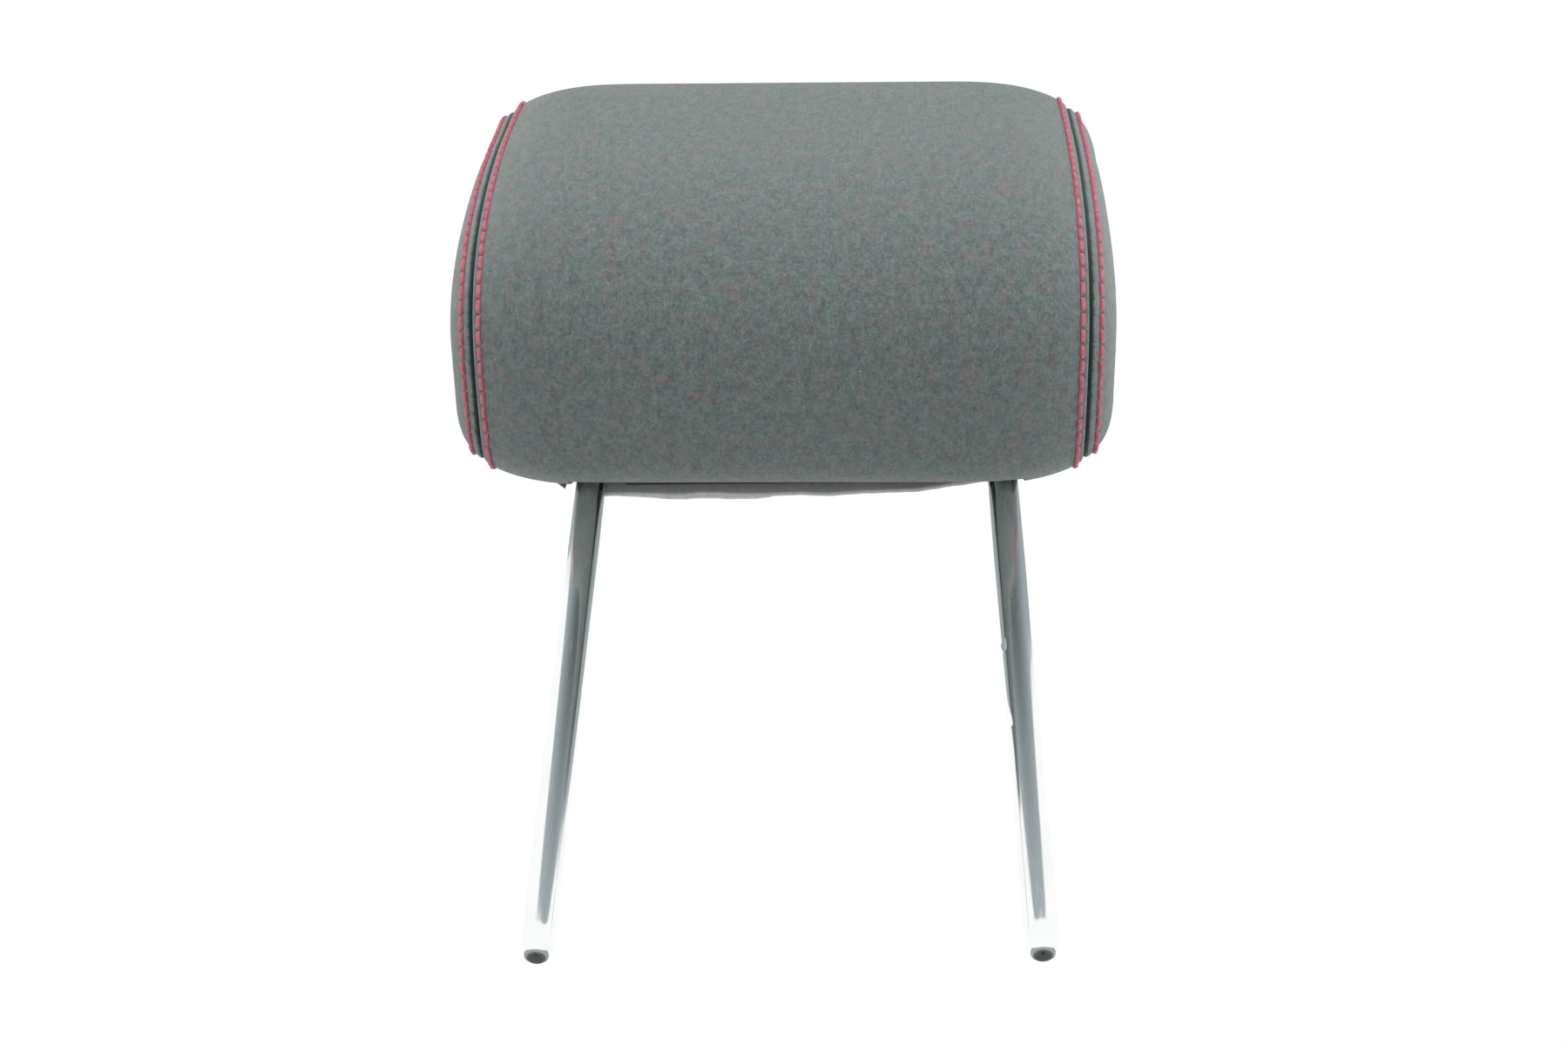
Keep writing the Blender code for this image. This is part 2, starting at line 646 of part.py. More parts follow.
def make_bosses(facing, depth, finish):
    """Screw bosses, standing on the tray's floor and reaching the split."""
    split = facing * RIGID_GAP / 2.0
    foot = facing * (depth - CORE_WALL + RIB_ROOT)
    bosses = []
    for number, (across, up) in enumerate(SCREW_PLACES):
        low, high = sorted((-split, -foot))
        stations = ((low, BOSS_RADIUS), (high, BOSS_RADIUS))
        base = (across, 0.0, POST_EXPOSED + up)
        bosses.append(turned(f"boss_{number}", stations, base, finish, BOSS_SIDES))
    return bosses


def make_tube_cutter(finish):
    """The room that the hoop needs in the core, from below its bottom wall."""
    path = hoop_path(POST_EXPOSED)
    rings = tube_rings(path, np.full(len(path), CHANNEL_RADIUS), TUBE_SIDES)
    return solid("tube_cutter", *skin(rings, caps=True), finish)


def bore_for_screws(tray, rear, finish):
    """Pilot holes in the front half, and clearance holes with seats for the heads in the rear half."""
    flats = math.cos(math.pi / SCREW_SIDES)
    hole = (SCREW_RADIUS + RIGID_GAP) / flats
    seat = (SCREW_HEAD_RADIUS + RIGID_GAP) / flats
    for number, (across, up) in enumerate(SCREW_PLACES):
        foot = (across, CORE_BACK, POST_EXPOSED + up)
        tip = -SCREW_SEAT_DEPTH - SCREW_LENGTH - RIGID_GAP
        stations = [(tip, hole), (-SCREW_SEAT_DEPTH, hole)]
        if rear:
            stations += [(-SCREW_SEAT_DEPTH, seat), (CORE_WALL, seat)]
        combine(tray, turned(f"bore_{number}", stations, foot, finish, SCREW_SIDES), "DIFFERENCE", 30.0)


def make_screws(finish):
    """Pan-head screws, seated in the rear half of the core."""
    under_head = -SCREW_SEAT_DEPTH + RIGID_GAP
    stations = (
        (under_head - SCREW_LENGTH, SCREW_TIP_RADIUS),
        (under_head - SCREW_LENGTH + SCREW_RADIUS, SCREW_RADIUS),
        (under_head, SCREW_RADIUS),
        (under_head, SCREW_HEAD_RADIUS),
        (under_head + SCREW_HEAD_HEIGHT / 2.0, SCREW_HEAD_RADIUS),
        (under_head + SCREW_HEAD_HEIGHT, SCREW_CROWN_RADIUS),
    )
    for number, (across, up) in enumerate(SCREW_PLACES, start=1):
        foot = (across, CORE_BACK, POST_EXPOSED + up)
        turned(f"core_screw_{number}", stations, foot, finish, SCREW_SIDES)


def main():
    """Build every piece."""
    clear_scene()
    chrome = material("chrome", (0.62, 0.64, 0.66), 0.12, 1.0)
    steel = material("zinc_steel", (0.50, 0.50, 0.48), 0.40, 1.0)
    plastic = material("core_plastic", (0.03, 0.03, 0.03), 0.55)
    strip_plastic = material("strip_plastic", (0.05, 0.05, 0.05), 0.50)
    foam = material("foam", (0.70, 0.66, 0.50), 0.95)
    cloth = material("grey_cloth", (0.17, 0.18, 0.175), 0.90)
    thread = material("red_thread", (0.45, 0.03, 0.05), 0.60)

    make_hoop(chrome)
    front = make_tray("core_front_shell", 1.0, CORE_FRONT, plastic)
    rear = make_tray("core_rear_shell", -1.0, CORE_BACK, plastic)
    bore_for_screws(front, False, plastic)
    bore_for_screws(rear, True, plastic)
    make_screws(steel)
    make_foam(foam)
    make_centre_panel(cloth)
    make_side_panel("cover_left_panel", -1.0, cloth)
    make_side_panel("cover_right_panel", 1.0, cloth)
    make_hook_strips(strip_plastic)
    make_hems(cloth)
    for side, word in ((-1.0, "left"), (1.0, "right")):
        make_stitch_row(f"stitch_{word}_inner", side, INNER_ROW_ACROSS, thread)
        make_stitch_row(f"stitch_{word}_outer", side, OUTER_ROW_ACROSS, thread)


main()
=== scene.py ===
"""Car headrest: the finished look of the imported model.

The pad's cover is drawn again as three padded panels of knitted cloth with turned-in, topstitched seams,
the hoop as a smooth chromed tube, and the closing strip under the pad as folded cloth. The pad is a
profile of (forward, up) points carried across the width, and each side's shoulder insets that profile.
"""

import math

import bpy
import numpy as np
from bpy.props import FloatProperty, FloatVectorProperty, IntProperty, PointerProperty
from mathutils import Matrix, Vector


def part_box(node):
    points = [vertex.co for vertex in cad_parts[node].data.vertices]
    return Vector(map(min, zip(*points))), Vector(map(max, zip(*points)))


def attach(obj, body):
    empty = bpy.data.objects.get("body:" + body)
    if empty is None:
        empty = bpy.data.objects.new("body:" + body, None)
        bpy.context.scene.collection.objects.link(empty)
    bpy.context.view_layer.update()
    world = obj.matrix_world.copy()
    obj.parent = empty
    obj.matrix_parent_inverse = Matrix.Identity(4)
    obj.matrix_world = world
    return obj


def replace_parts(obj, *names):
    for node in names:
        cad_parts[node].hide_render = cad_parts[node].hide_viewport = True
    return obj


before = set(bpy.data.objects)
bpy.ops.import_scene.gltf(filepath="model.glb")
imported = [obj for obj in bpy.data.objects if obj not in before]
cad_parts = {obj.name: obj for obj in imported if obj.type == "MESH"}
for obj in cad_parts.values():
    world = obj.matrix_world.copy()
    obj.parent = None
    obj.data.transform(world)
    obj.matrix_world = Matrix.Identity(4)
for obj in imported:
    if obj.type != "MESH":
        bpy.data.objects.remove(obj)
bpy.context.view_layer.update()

bl_info = {
    "name": "Car headrest",
    "version": (1, 0, 0),
    "blender": (4, 5, 0),
    "location": "View3D > Sidebar > Headrest",
    "description": "Builds the finished look of a car headrest on its packed solids",
    "category": "Object",
}

# Pad form, as in the part's source, in metres: profile points are (forward, up) from the posts' entry
POST_EXPOSED = 0.237
PROFILE = (
    (0.008, -0.007),
    (0.036, -0.0075),
    (0.0755, 0.007),
    (0.099, 0.044),
    (0.101, 0.095),
    (0.093, 0.1395),
    (0.082, 0.176),
    (0.059, 0.193),
    (0.0115, 0.180),
    (-0.022, 0.146),
    (-0.030, 0.097),
    (-0.028, 0.048),
    (-0.011, 0.0165),
)
SPINE_FORWARD = 0.030
SPINE_BOTTOM = 0.062
SPINE_TOP = 0.128
PAD_OFFSET = -0.0042
SHOULDER_WIDTH = 0.068
SHOULDER_DEPTH = 0.046
SHOULDER_POWER = 2.85
TILT = 0.014
TILT_CENTRE = 0.090
SPLINE_STEPS = 1200
SHORT_STEP = 0.0001

# Slot under the pad for the posts, and the closing strip in it
SLOT_HALF_DEPTH = 0.007
SLOT_HALF_WIDTH = 0.091
SLOT_FLOOR = 0.0128
SLOT_ROUNDING = 0.0012
HEM_TOP = 0.015
HEM_THICKNESS = 0.002
TUCK_THICKNESS = 0.0015
TAB_THICKNESS = 0.0012
FOLD_STEPS = 120
FOLD_ROUND = 13
FOLD_GAP = 0.0003

# Sine waves on the folds, as (height, radians a metre, phase)
FOLD_WAVES = ((0.00010, 310.0, 0.8), (0.00008, 730.0, 0.0))
FOLD_SWAY = (0.0003, 190.0, 2.0)

# Lower edges of the cloth folds in the slot, as (across, height above the posts' entry)
HEM_LOWS = (
    (-0.0785, 0.0000),
    (-0.0064, -0.0010),
    (0.0131, -0.0008),
    (0.0308, -0.0002),
    (0.0486, 0.0011),
    (0.0610, 0.0030),
    (0.0691, 0.0046),
    (0.0760, 0.0070),
)
TUCK_LOWS = (
    (-0.0805, 0.0033),
    (-0.0684, 0.0015),
    (-0.0489, 0.0001),
    (-0.0294, -0.0003),
    (-0.0152, -0.0001),
    (-0.0110, 0.0007),
    (-0.0064, 0.0029),
    (0.0010, 0.0050),
    (0.0110, 0.0085),
    (0.0150, 0.0110),
)
TAB_LOWS = (
    (-0.1005, 0.0100),
    (-0.0953, 0.0049),
    (-0.0943, 0.0100),
)

# Notches in the right post, as heights above the posts' ends
UPPER_NOTCH_BOTTOM = 0.1385
UPPER_NOTCH_TOP = 0.1445
LOWER_NOTCH_LEDGE = 0.100
LOWER_NOTCH_RAMP = 0.0145

# Fineness of the surfaces: numbers of rings and columns, the shares of the profile with fine rings round
# the slot, and the lengths past a seam's lip up to which the columns are fine or coarse
RINGS_A_STITCH = 6
SLOT_RINGS = 90
SLOT_SHARE_START = 0.93
SLOT_SHARE_END = 0.012
SHARE_GAP = 0.0015
CENTRE_FINE = 0.006
CENTRE_COARSE = 0.024
END_FINE = 0.0055
SLOT_END_REACH = 0.004
LEG_RINGS = 60
THREAD_SIDES = 8
CARD_CORNERS = 96
FLOOR_LINES = 41

# Cloth simulation
SIM_RINGS = 96
SIM_COLUMNS = 56
SIM_FRAMES = 20
SIM_STIFFNESS = 12.0
SIM_BENDING = 2.0
PUFF_FADE = 0.025

# Stitches: easing of the pull between the needle holes, lean of the stitches, and pitch of the twist
HOLE_EASE = 0.4
THREAD_LEAN = 0.06
THREAD_LEAN_TURN = 2.4
PLY_PITCH = 0.0008

# Patterns: scales in features a metre, lengths, and colours with their shares and strengths
LOOP_SCALE = 900.0
FLECK_SCALE = 600.0
BLOTCH_SCALE = 220.0
CAST_SCALE = 130.0
COOL_SCALE = 85.0
HAIR_SCALE = 1500.0
LINT_SPACING = 0.028
SCRATCH_SCALE = 2600.0
HAZE_SCALE = 45.0
PEBBLE_SCALE = 1400.0
PORE_SCALE = 900.0
# Raggedness of the edge of the painted shade in the seams' grooves
GROOVE_SHADE_JITTER = 0.0002
YARN_LIGHT = 1.36
HUE_SHARE = 0.36
GREEN_CAST = (0.105, 0.175, 0.135)
ROSE_CAST = (0.185, 0.140, 0.148)
COOL_CAST = (0.120, 0.152, 0.178)
LINT_COLOUR = (0.62, 0.66, 0.64)
SHEEN_COLOUR = (0.86, 0.90, 0.88, 1.0)
# Painted light and painted shade: lit and shaded copies of the strip's edge cloth, the lighter on the tuck,
# the darker on the hem
LIT_EDGE = 0.75
SHADED_EDGE = 0.6
CORE_COLOUR = (0.030, 0.031, 0.032)
CORE_ROUGHNESS = 0.5
STRIP_COLOUR = (0.045, 0.045, 0.045)
STRIP_ROUGHNESS = 0.45
FOAM_COLOURS = ((0.09, 0.10, 0.10), (0.17, 0.18, 0.18))
ZINC_COLOURS = ((0.42, 0.42, 0.40), (0.60, 0.60, 0.58))

# Stage: the cards' glow at their middle and rim with the distances between which it changes, and the
# lamps as (name, size, setting for the power, place)
CARD_COLOURS = ((0.080, 0.095, 0.088), (0.32, 0.37, 0.39))
CARD_REACH = (0.22, 0.50)
CARD_POWER = 3.0
FLOOR_DROP = 0.0006
LAMPS = (
    ("key_lamp", 1.3, "key_power", (0.3, -1.95, 0.95)),
    ("rim_lamp", 1.0, "rim_power", (0.1, 0.8, -1.0)),
    ("left_lamp", 1.0, "side_power", (-1.5, 0.1, 0.6)),
    ("right_lamp", 1.0, "side_power", (1.5, 0.1, 0.4)),
    ("low_lamp", 1.4, "low_power", (0.2, -1.0, -1.0)),
)

PAD_PANELS = ("cover_centre_panel", "cover_left_panel", "cover_right_panel")


def metres(name, description, default):
    """A length in the settings."""
    return FloatProperty(name=name, description=description, default=default, unit="LENGTH")


def degrees(name, description, default):
    """An angle in the settings, given here in degrees."""
    return FloatProperty(name=name, description=description, default=math.radians(default), subtype="ANGLE")


def portion(name, description, default):
    """A share from 0 to 1 in the settings."""
    return FloatProperty(name=name, description=description, default=default, subtype="FACTOR")


def number(name, description, default):
    """A plain number in the settings."""
    return FloatProperty(name=name, description=description, default=default)


def spot(name, description, default):
    """A place in the settings."""
    return FloatVectorProperty(name=name, description=description, default=default, subtype="TRANSLATION")


def tint(name, description, default):
    """A colour in the settings."""
    return FloatVectorProperty(
        name=name, description=description, default=default, subtype="COLOR", min=0.0, max=1.0
    )


class HoopSettings(bpy.types.PropertyGroup):
    """Sizes and finish of the bent tube."""

    tube_radius: metres("Tube radius", "Outside radius of the posts", 0.006)
    bore_radius: metres("Bore radius", "Inside radius of the tube", 0.004)
    spacing: metres("Post spacing", "Distance between the posts' axes", 0.168)
    crossbar_rise: metres("Crossbar rise", "Height of the crossbar above the pad's underside", 0.112)
    bend_radius: metres("Bend radius", "Radius of the two bends, to the tube's axis", 0.030)
    tip_length: metres("Tip length", "Length of the swaged end of each post", 0.011)
    tip_face_radius: metres("Tip face radius", "Outside radius of the end ring", 0.0036)
    tip_hole_radius: metres("Tip hole radius", "Radius of the hole left in the end", 0.0005)
    tip_rim: metres("Tip rim", "Bevel between the swaged end and its face", 0.0004)
    tip_dish: metres("Tip dish", "Depth of the dished end face", 0.0009)
    notch_depth: metres("Notch depth", "Depth of the height-stop notches", 0.0015)
    sides: IntProperty(name="Sides", description="Facets round the tube", default=48, min=12)
    chrome_colour: tint("Chrome", "Colour of the plating face on", (0.97, 0.98, 0.98))
    bare_colour: tint("Bare steel", "Colour of the cut steel in the ends", (0.30, 0.305, 0.285))
    chrome_roughness: portion("Chrome roughness", "Roughness of clean plating", 0.09)


class CoverSettings(bpy.types.PropertyGroup):
    """Sizes and colours of the cloth cover."""

    half_width: metres("Half width", "Half of the pad's width, without the end panels' crown", 0.1345)
    end_crown: metres("End crown", "How far the end panels bulge at their middle", 0.0012)
    seam: metres("Seam", "Distance of the seams from the pad's middle", 0.1222)
    lip_radius: metres("Lip radius", "Rounding of the cloth where it turns into the seam", 0.0019)
    seam_gap: metres("Seam gap", "Width of the open line at the groove's floor", 0.0008)
    thickness: metres("Cloth thickness", "Thickness of the foam-backed cloth", 0.0024)
    flap_width: metres("Flap width", "Thickness of the edge turned into the seam", 0.0016)
    valley_width: metres("Valley width", "Half width of the dent along a stitch row", 0.0013)
    groove_depth: metres("Groove depth", "Depth of the open groove along the seam", 0.0055)
    stitch_pull: metres("Stitch pull", "How deep the thread pulls the cloth down", 0.0006)
    puff: metres("Puff", "Most that the foam's pressure may move the cloth", 0.006)
    puff_share: portion("Puff share", "Share of the simulated movement that the cover takes", 0.5)
    pressure: number("Pressure", "Pressure of the foam on the cloth in the simulation", 4.0)
    cloth_colour: tint("Cloth", "Main colour of the knitted cloth", (0.158, 0.182, 0.177))
    dark_yarn: tint("Dark yarn", "Colour of the darker yarns in the heather", (0.080, 0.098, 0.094))
    # Painted shade: the cloth deep in the seams' grooves darkens to this colour below the depth set next
    groove_colour: tint("Groove", "Colour of the dark edge binding in the seams", (0.022, 0.036, 0.030))
    groove_fade: metres("Groove fade", "Depth below the face at which the binding covers the cloth", 0.0005)
    # Painted light in part: the strip's cloth edge is paler than the cover, and part of that paleness
    # stands for light on the strip
    strip_colour: tint("Strip", "Colour of the cloth's edge in the closing strip", (0.84, 0.86, 0.84))
    knit_pitch: metres("Knit pitch", "Width of one wale of the knit", 0.0009)


class ThreadSettings(bpy.types.PropertyGroup):
    """Sizes and colour of the topstitching."""

    pitch: metres("Pitch", "Length of one stitch", 0.0062)
    inner_row: metres("Inner row", "Distance of the inner rows from the pad's middle", 0.1182)
    outer_row: metres("Outer row", "Distance of the outer rows from the pad's middle", 0.1262)
    radius: metres("Thread radius", "Radius of the thread", 0.00085)
    coverage: portion("Coverage", "Share of the pitch that a stitch covers", 0.97)
    colour: tint("Thread", "Colour of the thread", (0.50, 0.055, 0.10))
    # Painted highlight: a paler colour laid on the crests of the thread's plies
    crest_colour: tint("Crest", "Colour of the thread's paler crests", (0.84, 0.36, 0.42))


class StudioSettings(bpy.types.PropertyGroup):
    """Camera, floor and light."""

    azimuth: degrees("Azimuth", "Camera's turn round the object", 2.4)
    elevation: degrees("Elevation", "Camera's height angle; below the horizon it is negative", -48.0)
    roll: degrees("Roll", "Camera's turn about its own axis", 1.22)
    distance: metres("Distance", "Distance from the camera to its aim", 0.927)
    aim: spot("Aim", "Point at the middle of the picture", (-0.00469, 0.0, 0.21501))
    lens: number("Lens", "Focal length in millimetres", 53.2)
    ambient: number("Ambient", "Strength of the even light", 0.50)
    key_power: number("Key", "Lamp above the front, in watts", 34.0)
    rim_power: number("Rim", "Lamp below the back, in watts", 2.5)
    side_power: number("Sides", "Lamp beside each end, in watts", 10.0)
    low_power: number("Low", "Lamp below the front, in watts", 2.5)
    card_centre: spot("Card", "Middle of the dark card that only reflections see", (0.05, -0.20, 0.60))
    card_half_width: metres("Card half width", "Half of the dark card's width", 0.53)
    card_half_depth: metres("Card half depth", "Half of the dark card's depth", 0.58)
    low_card_reach: metres("Low card reach", "Half of the width of the dark card below the floor", 3.0)
    low_card_front: metres("Low card front", "How far that card reaches in front of the posts", 0.09)
    low_card_height: metres("Low card height", "Height of that card; below the floor it is negative", -0.15)
    floor_radius: metres("Floor radius", "Distance at which the floor has faded out", 1.5)
    floor_colour: tint("Floor", "Colour of the floor", (0.86, 0.86, 0.85))


# Meshes


def grid_quads(rows, columns, wrap_rows=False, wrap_columns=False):
    """Quads of a grid of points numbered row by row, joined round where it wraps."""
    row = np.arange(rows if wrap_rows else rows - 1)[:, None]
    column = np.arange(columns if wrap_columns else columns - 1)[None, :]
    next_row, next_column = (row + 1) % rows, (column + 1) % columns
    corners = (
        row * columns + column,
        row * columns + next_column,
        next_row * columns + next_column,
        next_row * columns + column,
    )
    return np.stack(np.broadcast_arrays(*corners), axis=-1).reshape(-1, 4)


def fan(ring, centre):
    """Triangles from each edge of a closed ring of point numbers to one centre point."""
    return np.stack([ring, np.roll(ring, -1), np.full(len(ring), centre)], axis=-1)


def signed_volume(points, faces):
    """Volume inside closed faces, from the sum of corner triple products; negative if they face inwards."""
    total = 0.0
    for block in faces:
        corner = points[block]
        for last in range(2, block.shape[1]):
            total += np.einsum("ij,ij->", corner[:, 0], np.cross(corner[:, last - 1], corner[:, last]))
    return total / 6.0


def new_piece(name, points, faces, finish, uv=None, slot=None, mark=None):
    """A smooth-shaded object from an array of points and blocks of faces, with its faces turned outwards.

    uv holds (along, across) pairs in metres for the corners of each block of faces, and mark a value for
    each point, which materials read as the attribute of that name."""
    if signed_volume(points, faces) < 0.0:
        faces = [block[:, ::-1] for block in faces]
        uv = [block[:, ::-1] for block in uv] if uv is not None else None
    mesh = bpy.data.meshes.new(name)
    mesh.from_pydata(points.tolist(), [], [face for block in faces for face in block.tolist()])
    if uv is not None:
        layer = mesh.uv_layers.new(name="UVMap")
        layer.data.foreach_set("uv", np.concatenate([block.reshape(-1, 2) for block in uv]).ravel())
    if mark is not None:
        mesh.attributes.new("mark", "FLOAT", "POINT").data.foreach_set("value", np.ravel(mark))
    if finish is not None:
        mesh.materials.append(finish)
    mesh.shade_smooth()
    piece = bpy.data.objects.new(name, mesh)
    bpy.context.scene.collection.objects.link(piece)
    if slot is not None:
        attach(piece, "root")
    return piece


def grid_uv(rows_at, columns_at):
    """Corner coordinates for grid_quads; where the grid wraps, the positions hold one more value."""
    row, column = np.arange(len(rows_at) - 1)[:, None], np.arange(len(columns_at) - 1)[None, :]
    picks = ((row, column), (row, column + 1), (row + 1, column + 1), (row + 1, column))
    corners = [np.stack(np.broadcast_arrays(rows_at[r], columns_at[c]), axis=-1) for r, c in picks]
    return np.stack(corners, axis=2).reshape(-1, 4, 2)


def unit(vectors):
    """The same vectors at length one."""
    return vectors / np.linalg.norm(vectors, axis=-1, keepdims=True)


def smooth(share):
    """Ease from 0 to 1 with level ends: three times the square less twice the cube."""
    share = np.clip(share, 0.0, 1.0)
    return share * share * (3.0 - 2.0 * share)


# Pad form


def place(forward, up, across):
    """Points of the pad's own measures as world coordinates."""
    forward, up, across = np.broadcast_arrays(forward, up, across)
    return np.stack([across, -forward, POST_EXPOSED + up], axis=-1)


def closed_spline(knots, count):
    """Closed cubic curve through the knots, with continuous bending, as count points."""
    knots = np.array(knots)
    size = len(knots)
    system = 4.0 * np.eye(size) + np.roll(np.eye(size), 1, axis=0) + np.roll(np.eye(size), -1, axis=0)
    slopes = np.linalg.solve(system, 3.0 * (np.roll(knots, -1, axis=0) - np.roll(knots, 1, axis=0)))
    where = np.arange(count) * size / count
    first = where.astype(int)
    second = (first + 1) % size
    part = (where - first)[:, None]
    square, cube = part**2, part**3
    return (
        (2 * cube - 3 * square + 1) * knots[first]
        + (cube - 2 * square + part) * slopes[first]
        + (3 * square - 2 * cube) * knots[second]
        + (cube - square) * slopes[second]
    )


def lengths_round(points):
    """Length along a closed loop of points at each of them, and at the end of the loop."""
    chord = np.linalg.norm(np.roll(points, -1, axis=0) - points, axis=1)
    return np.concatenate([[0.0], np.cumsum(chord)])


def round_loop(values, along, wanted):
    """Values of a closed loop at other lengths along it."""
    closed = np.concatenate([values, values[:1]])
    return np.stack([np.interp(wanted, along, column) for column in closed.T], axis=-1)


def profile_loop(shares):
    """Points of the profile at shares of its length, and unit ways out from the upright spine inside it."""
    fine = closed_spline(PROFILE, SPLINE_STEPS)
    along = lengths_round(fine)
    points = round_loop(fine, along, np.asarray(shares) * along[-1])
    level = np.clip(points[:, 1], SPINE_BOTTOM, SPINE_TOP)
    spine = np.stack([np.full(len(points), SPINE_FORWARD), level], axis=-1)
    return points, unit(points - spine)


def profile_length():
    """Length round the profile."""
    return lengths_round(closed_spline(PROFILE, SPLINE_STEPS))[-1]


def panel_shares(thread):
    """Shares of the profile at which the panels have rings: even, and closer together round the slot."""
    even = round(profile_length() / thread.pitch) * RINGS_A_STITCH
    shares = np.arange(even) / even
    before = np.linspace(SLOT_SHARE_START, 1.0, SLOT_RINGS, endpoint=False)
    slot = np.concatenate([before, np.linspace(0.0, SLOT_SHARE_END, 12)])
    rest = shares[(shares > SLOT_SHARE_END + SHARE_GAP) & (shares < SLOT_SHARE_START - SHARE_GAP)]
    return np.sort(np.concatenate([rest, slot]))


def shoulder_track(half_width):
    """Fine (distance, inset) points from the middle to the pad's widest, and the length along them.

    The shoulder is a superellipse: distance and inset go with the sine and one less the cosine of the
    same turn, each raised to two over the power."""
    turn = np.linspace(0.0, math.pi / 2.0, 600)
    across = half_width - SHOULDER_WIDTH + SHOULDER_WIDTH * np.sin(turn) ** (2.0 / SHOULDER_POWER)
    inset = SHOULDER_DEPTH * (1.0 - np.cos(turn) ** (2.0 / SHOULDER_POWER))
    points = np.concatenate([[[0.0, 0.0]], np.stack([across, inset], axis=-1)])
    length = np.concatenate([[0.0], np.cumsum(np.linalg.norm(np.diff(points, axis=0), axis=1))])
    return points, length


def length_at(across, half_width):
    """Length along the shoulder at a distance from the middle."""
    points, track = shoulder_track(half_width)
    return float(np.interp(across, points[:, 0], track))


def shoulder_section(lengths, half_width):
    """(distance, inset) points at signed lengths along the shoulder from the pad's middle."""
    points, track = shoulder_track(half_width)
    across = np.interp(np.abs(lengths), track, points[:, 0]) * np.sign(lengths)
    return np.stack([across, np.interp(np.abs(lengths), track, points[:, 1])], axis=-1)


def sweep(section, loop):
    """Grid of points: each (distance, inset) of the section carried round the profile loop.

    The whole pad is turned a little on its posts: a point drops by the tilt times its distance to the
    right, and moves to the right by the tilt times its height above the pad's centre."""
    points, outward = loop
    inner = points[:, None, :] - outward[:, None, :] * section[None, :, 1, None]
    across = section[None, :, 0] + PAD_OFFSET + TILT * (inner[..., 1] - TILT_CENTRE)
    return place(inner[..., 0], inner[..., 1] - TILT * section[None, :, 0], across)


def pad_normals(lengths, loop, half_width):
    """Outward unit normals of the plain pad: across the slopes round the profile and along the shoulder."""
    probe = 4.0 * SHORT_STEP
    edge = shoulder_track(half_width)[1][-1]
    low = sweep(shoulder_section(np.clip(lengths - probe, -edge, edge), half_width), loop)
    high = sweep(shoulder_section(np.clip(lengths + probe, -edge, edge), half_width), loop)
    centre = (low + high) / 2.0
    around = np.roll(centre, -1, axis=0) - np.roll(centre, 1, axis=0)
    normals = unit(np.cross(around, high - low))
    middle = place(SPINE_FORWARD, (SPINE_BOTTOM + SPINE_TOP) / 2.0, PAD_OFFSET)
    return normals * np.sign(np.einsum("ijk,ijk->ij", normals, centre - middle).sum())


# Cloth simulation


def simulate_puff(cover):
    """How far the foam pushes the cloth out, over the profile and the signed length along the shoulder.

    A coarse closed pad of the cover's form, pinned along its seams and round the posts' slot, is blown up
    by cloth pressure. A share of the centre panel's movement along the normals is kept, about its average,
    so that the pad's outline keeps its size, and fades out towards the seams."""
    edge = length_at(cover.half_width, cover.half_width)
    seam = length_at(cover.seam, cover.half_width)
    lengths = np.linspace(-edge, edge, SIM_COLUMNS)
    loop = profile_loop(np.arange(SIM_RINGS) / SIM_RINGS)
    grid = sweep(shoulder_section(lengths, cover.half_width), loop)
    normals = pad_normals(lengths, loop, cover.half_width)
    count = SIM_RINGS * SIM_COLUMNS
    points = np.concatenate([grid.reshape(-1, 3), grid[:, (0, -1)].mean(axis=0)])
    left = np.arange(SIM_RINGS) * SIM_COLUMNS
    quads = grid_quads(SIM_RINGS, SIM_COLUMNS, wrap_rows=True)
    ends = [fan(left, count)[:, ::-1], fan(left + SIM_COLUMNS - 1, count + 1)]
    blown = new_piece("blown_cover", points, [quads, *ends], None)
    near_slot = np.abs(grid[..., 1]) < 2.0 * SLOT_HALF_DEPTH
    near_slot &= grid[..., 2] < POST_EXPOSED + SPINE_BOTTOM
    near_slot &= np.abs(grid[..., 0]) < SLOT_HALF_WIDTH + SLOT_HALF_DEPTH
    near_seam = np.abs(np.abs(lengths) - seam) < 0.6 * (lengths[1] - lengths[0])
    pinned = np.flatnonzero((near_slot | near_seam[None, :]).ravel()).tolist()
    blown.vertex_groups.new(name="pins").add([*pinned, count, count + 1], 1.0, "REPLACE")
    cloth = blown.modifiers.new("Cloth", "CLOTH")
    cloth.settings.vertex_group_mass = "pins"
    cloth.settings.use_pressure = True
    cloth.settings.uniform_pressure_force = cover.pressure
    cloth.settings.effector_weights.gravity = 0.0
    cloth.settings.tension_stiffness = SIM_STIFFNESS
    cloth.settings.compression_stiffness = SIM_STIFFNESS
    cloth.settings.bending_stiffness = SIM_BENDING
    cloth.point_cache.frame_start = 1
    cloth.point_cache.frame_end = SIM_FRAMES
    for number in range(1, SIM_FRAMES + 1):
        bpy.context.scene.frame_set(number)
    solved = blown.evaluated_get(bpy.context.evaluated_depsgraph_get())
    moved = np.empty(len(points) * 3)
    solved.data.vertices.foreach_get("co", moved)
    bpy.context.scene.frame_set(1)
    bpy.data.objects.remove(blown, do_unlink=True)
    moved = moved.reshape(-1, 3)[:count].reshape(grid.shape)
    puff = np.clip(np.einsum("ijk,ijk->ij", moved - grid, normals), 0.0, cover.puff)
    puff -= puff[:, np.abs(lengths) < seam].mean()
    fade = smooth((seam - np.abs(lengths)) / PUFF_FADE)
    return puff * cover.puff_share * fade[None, :], lengths


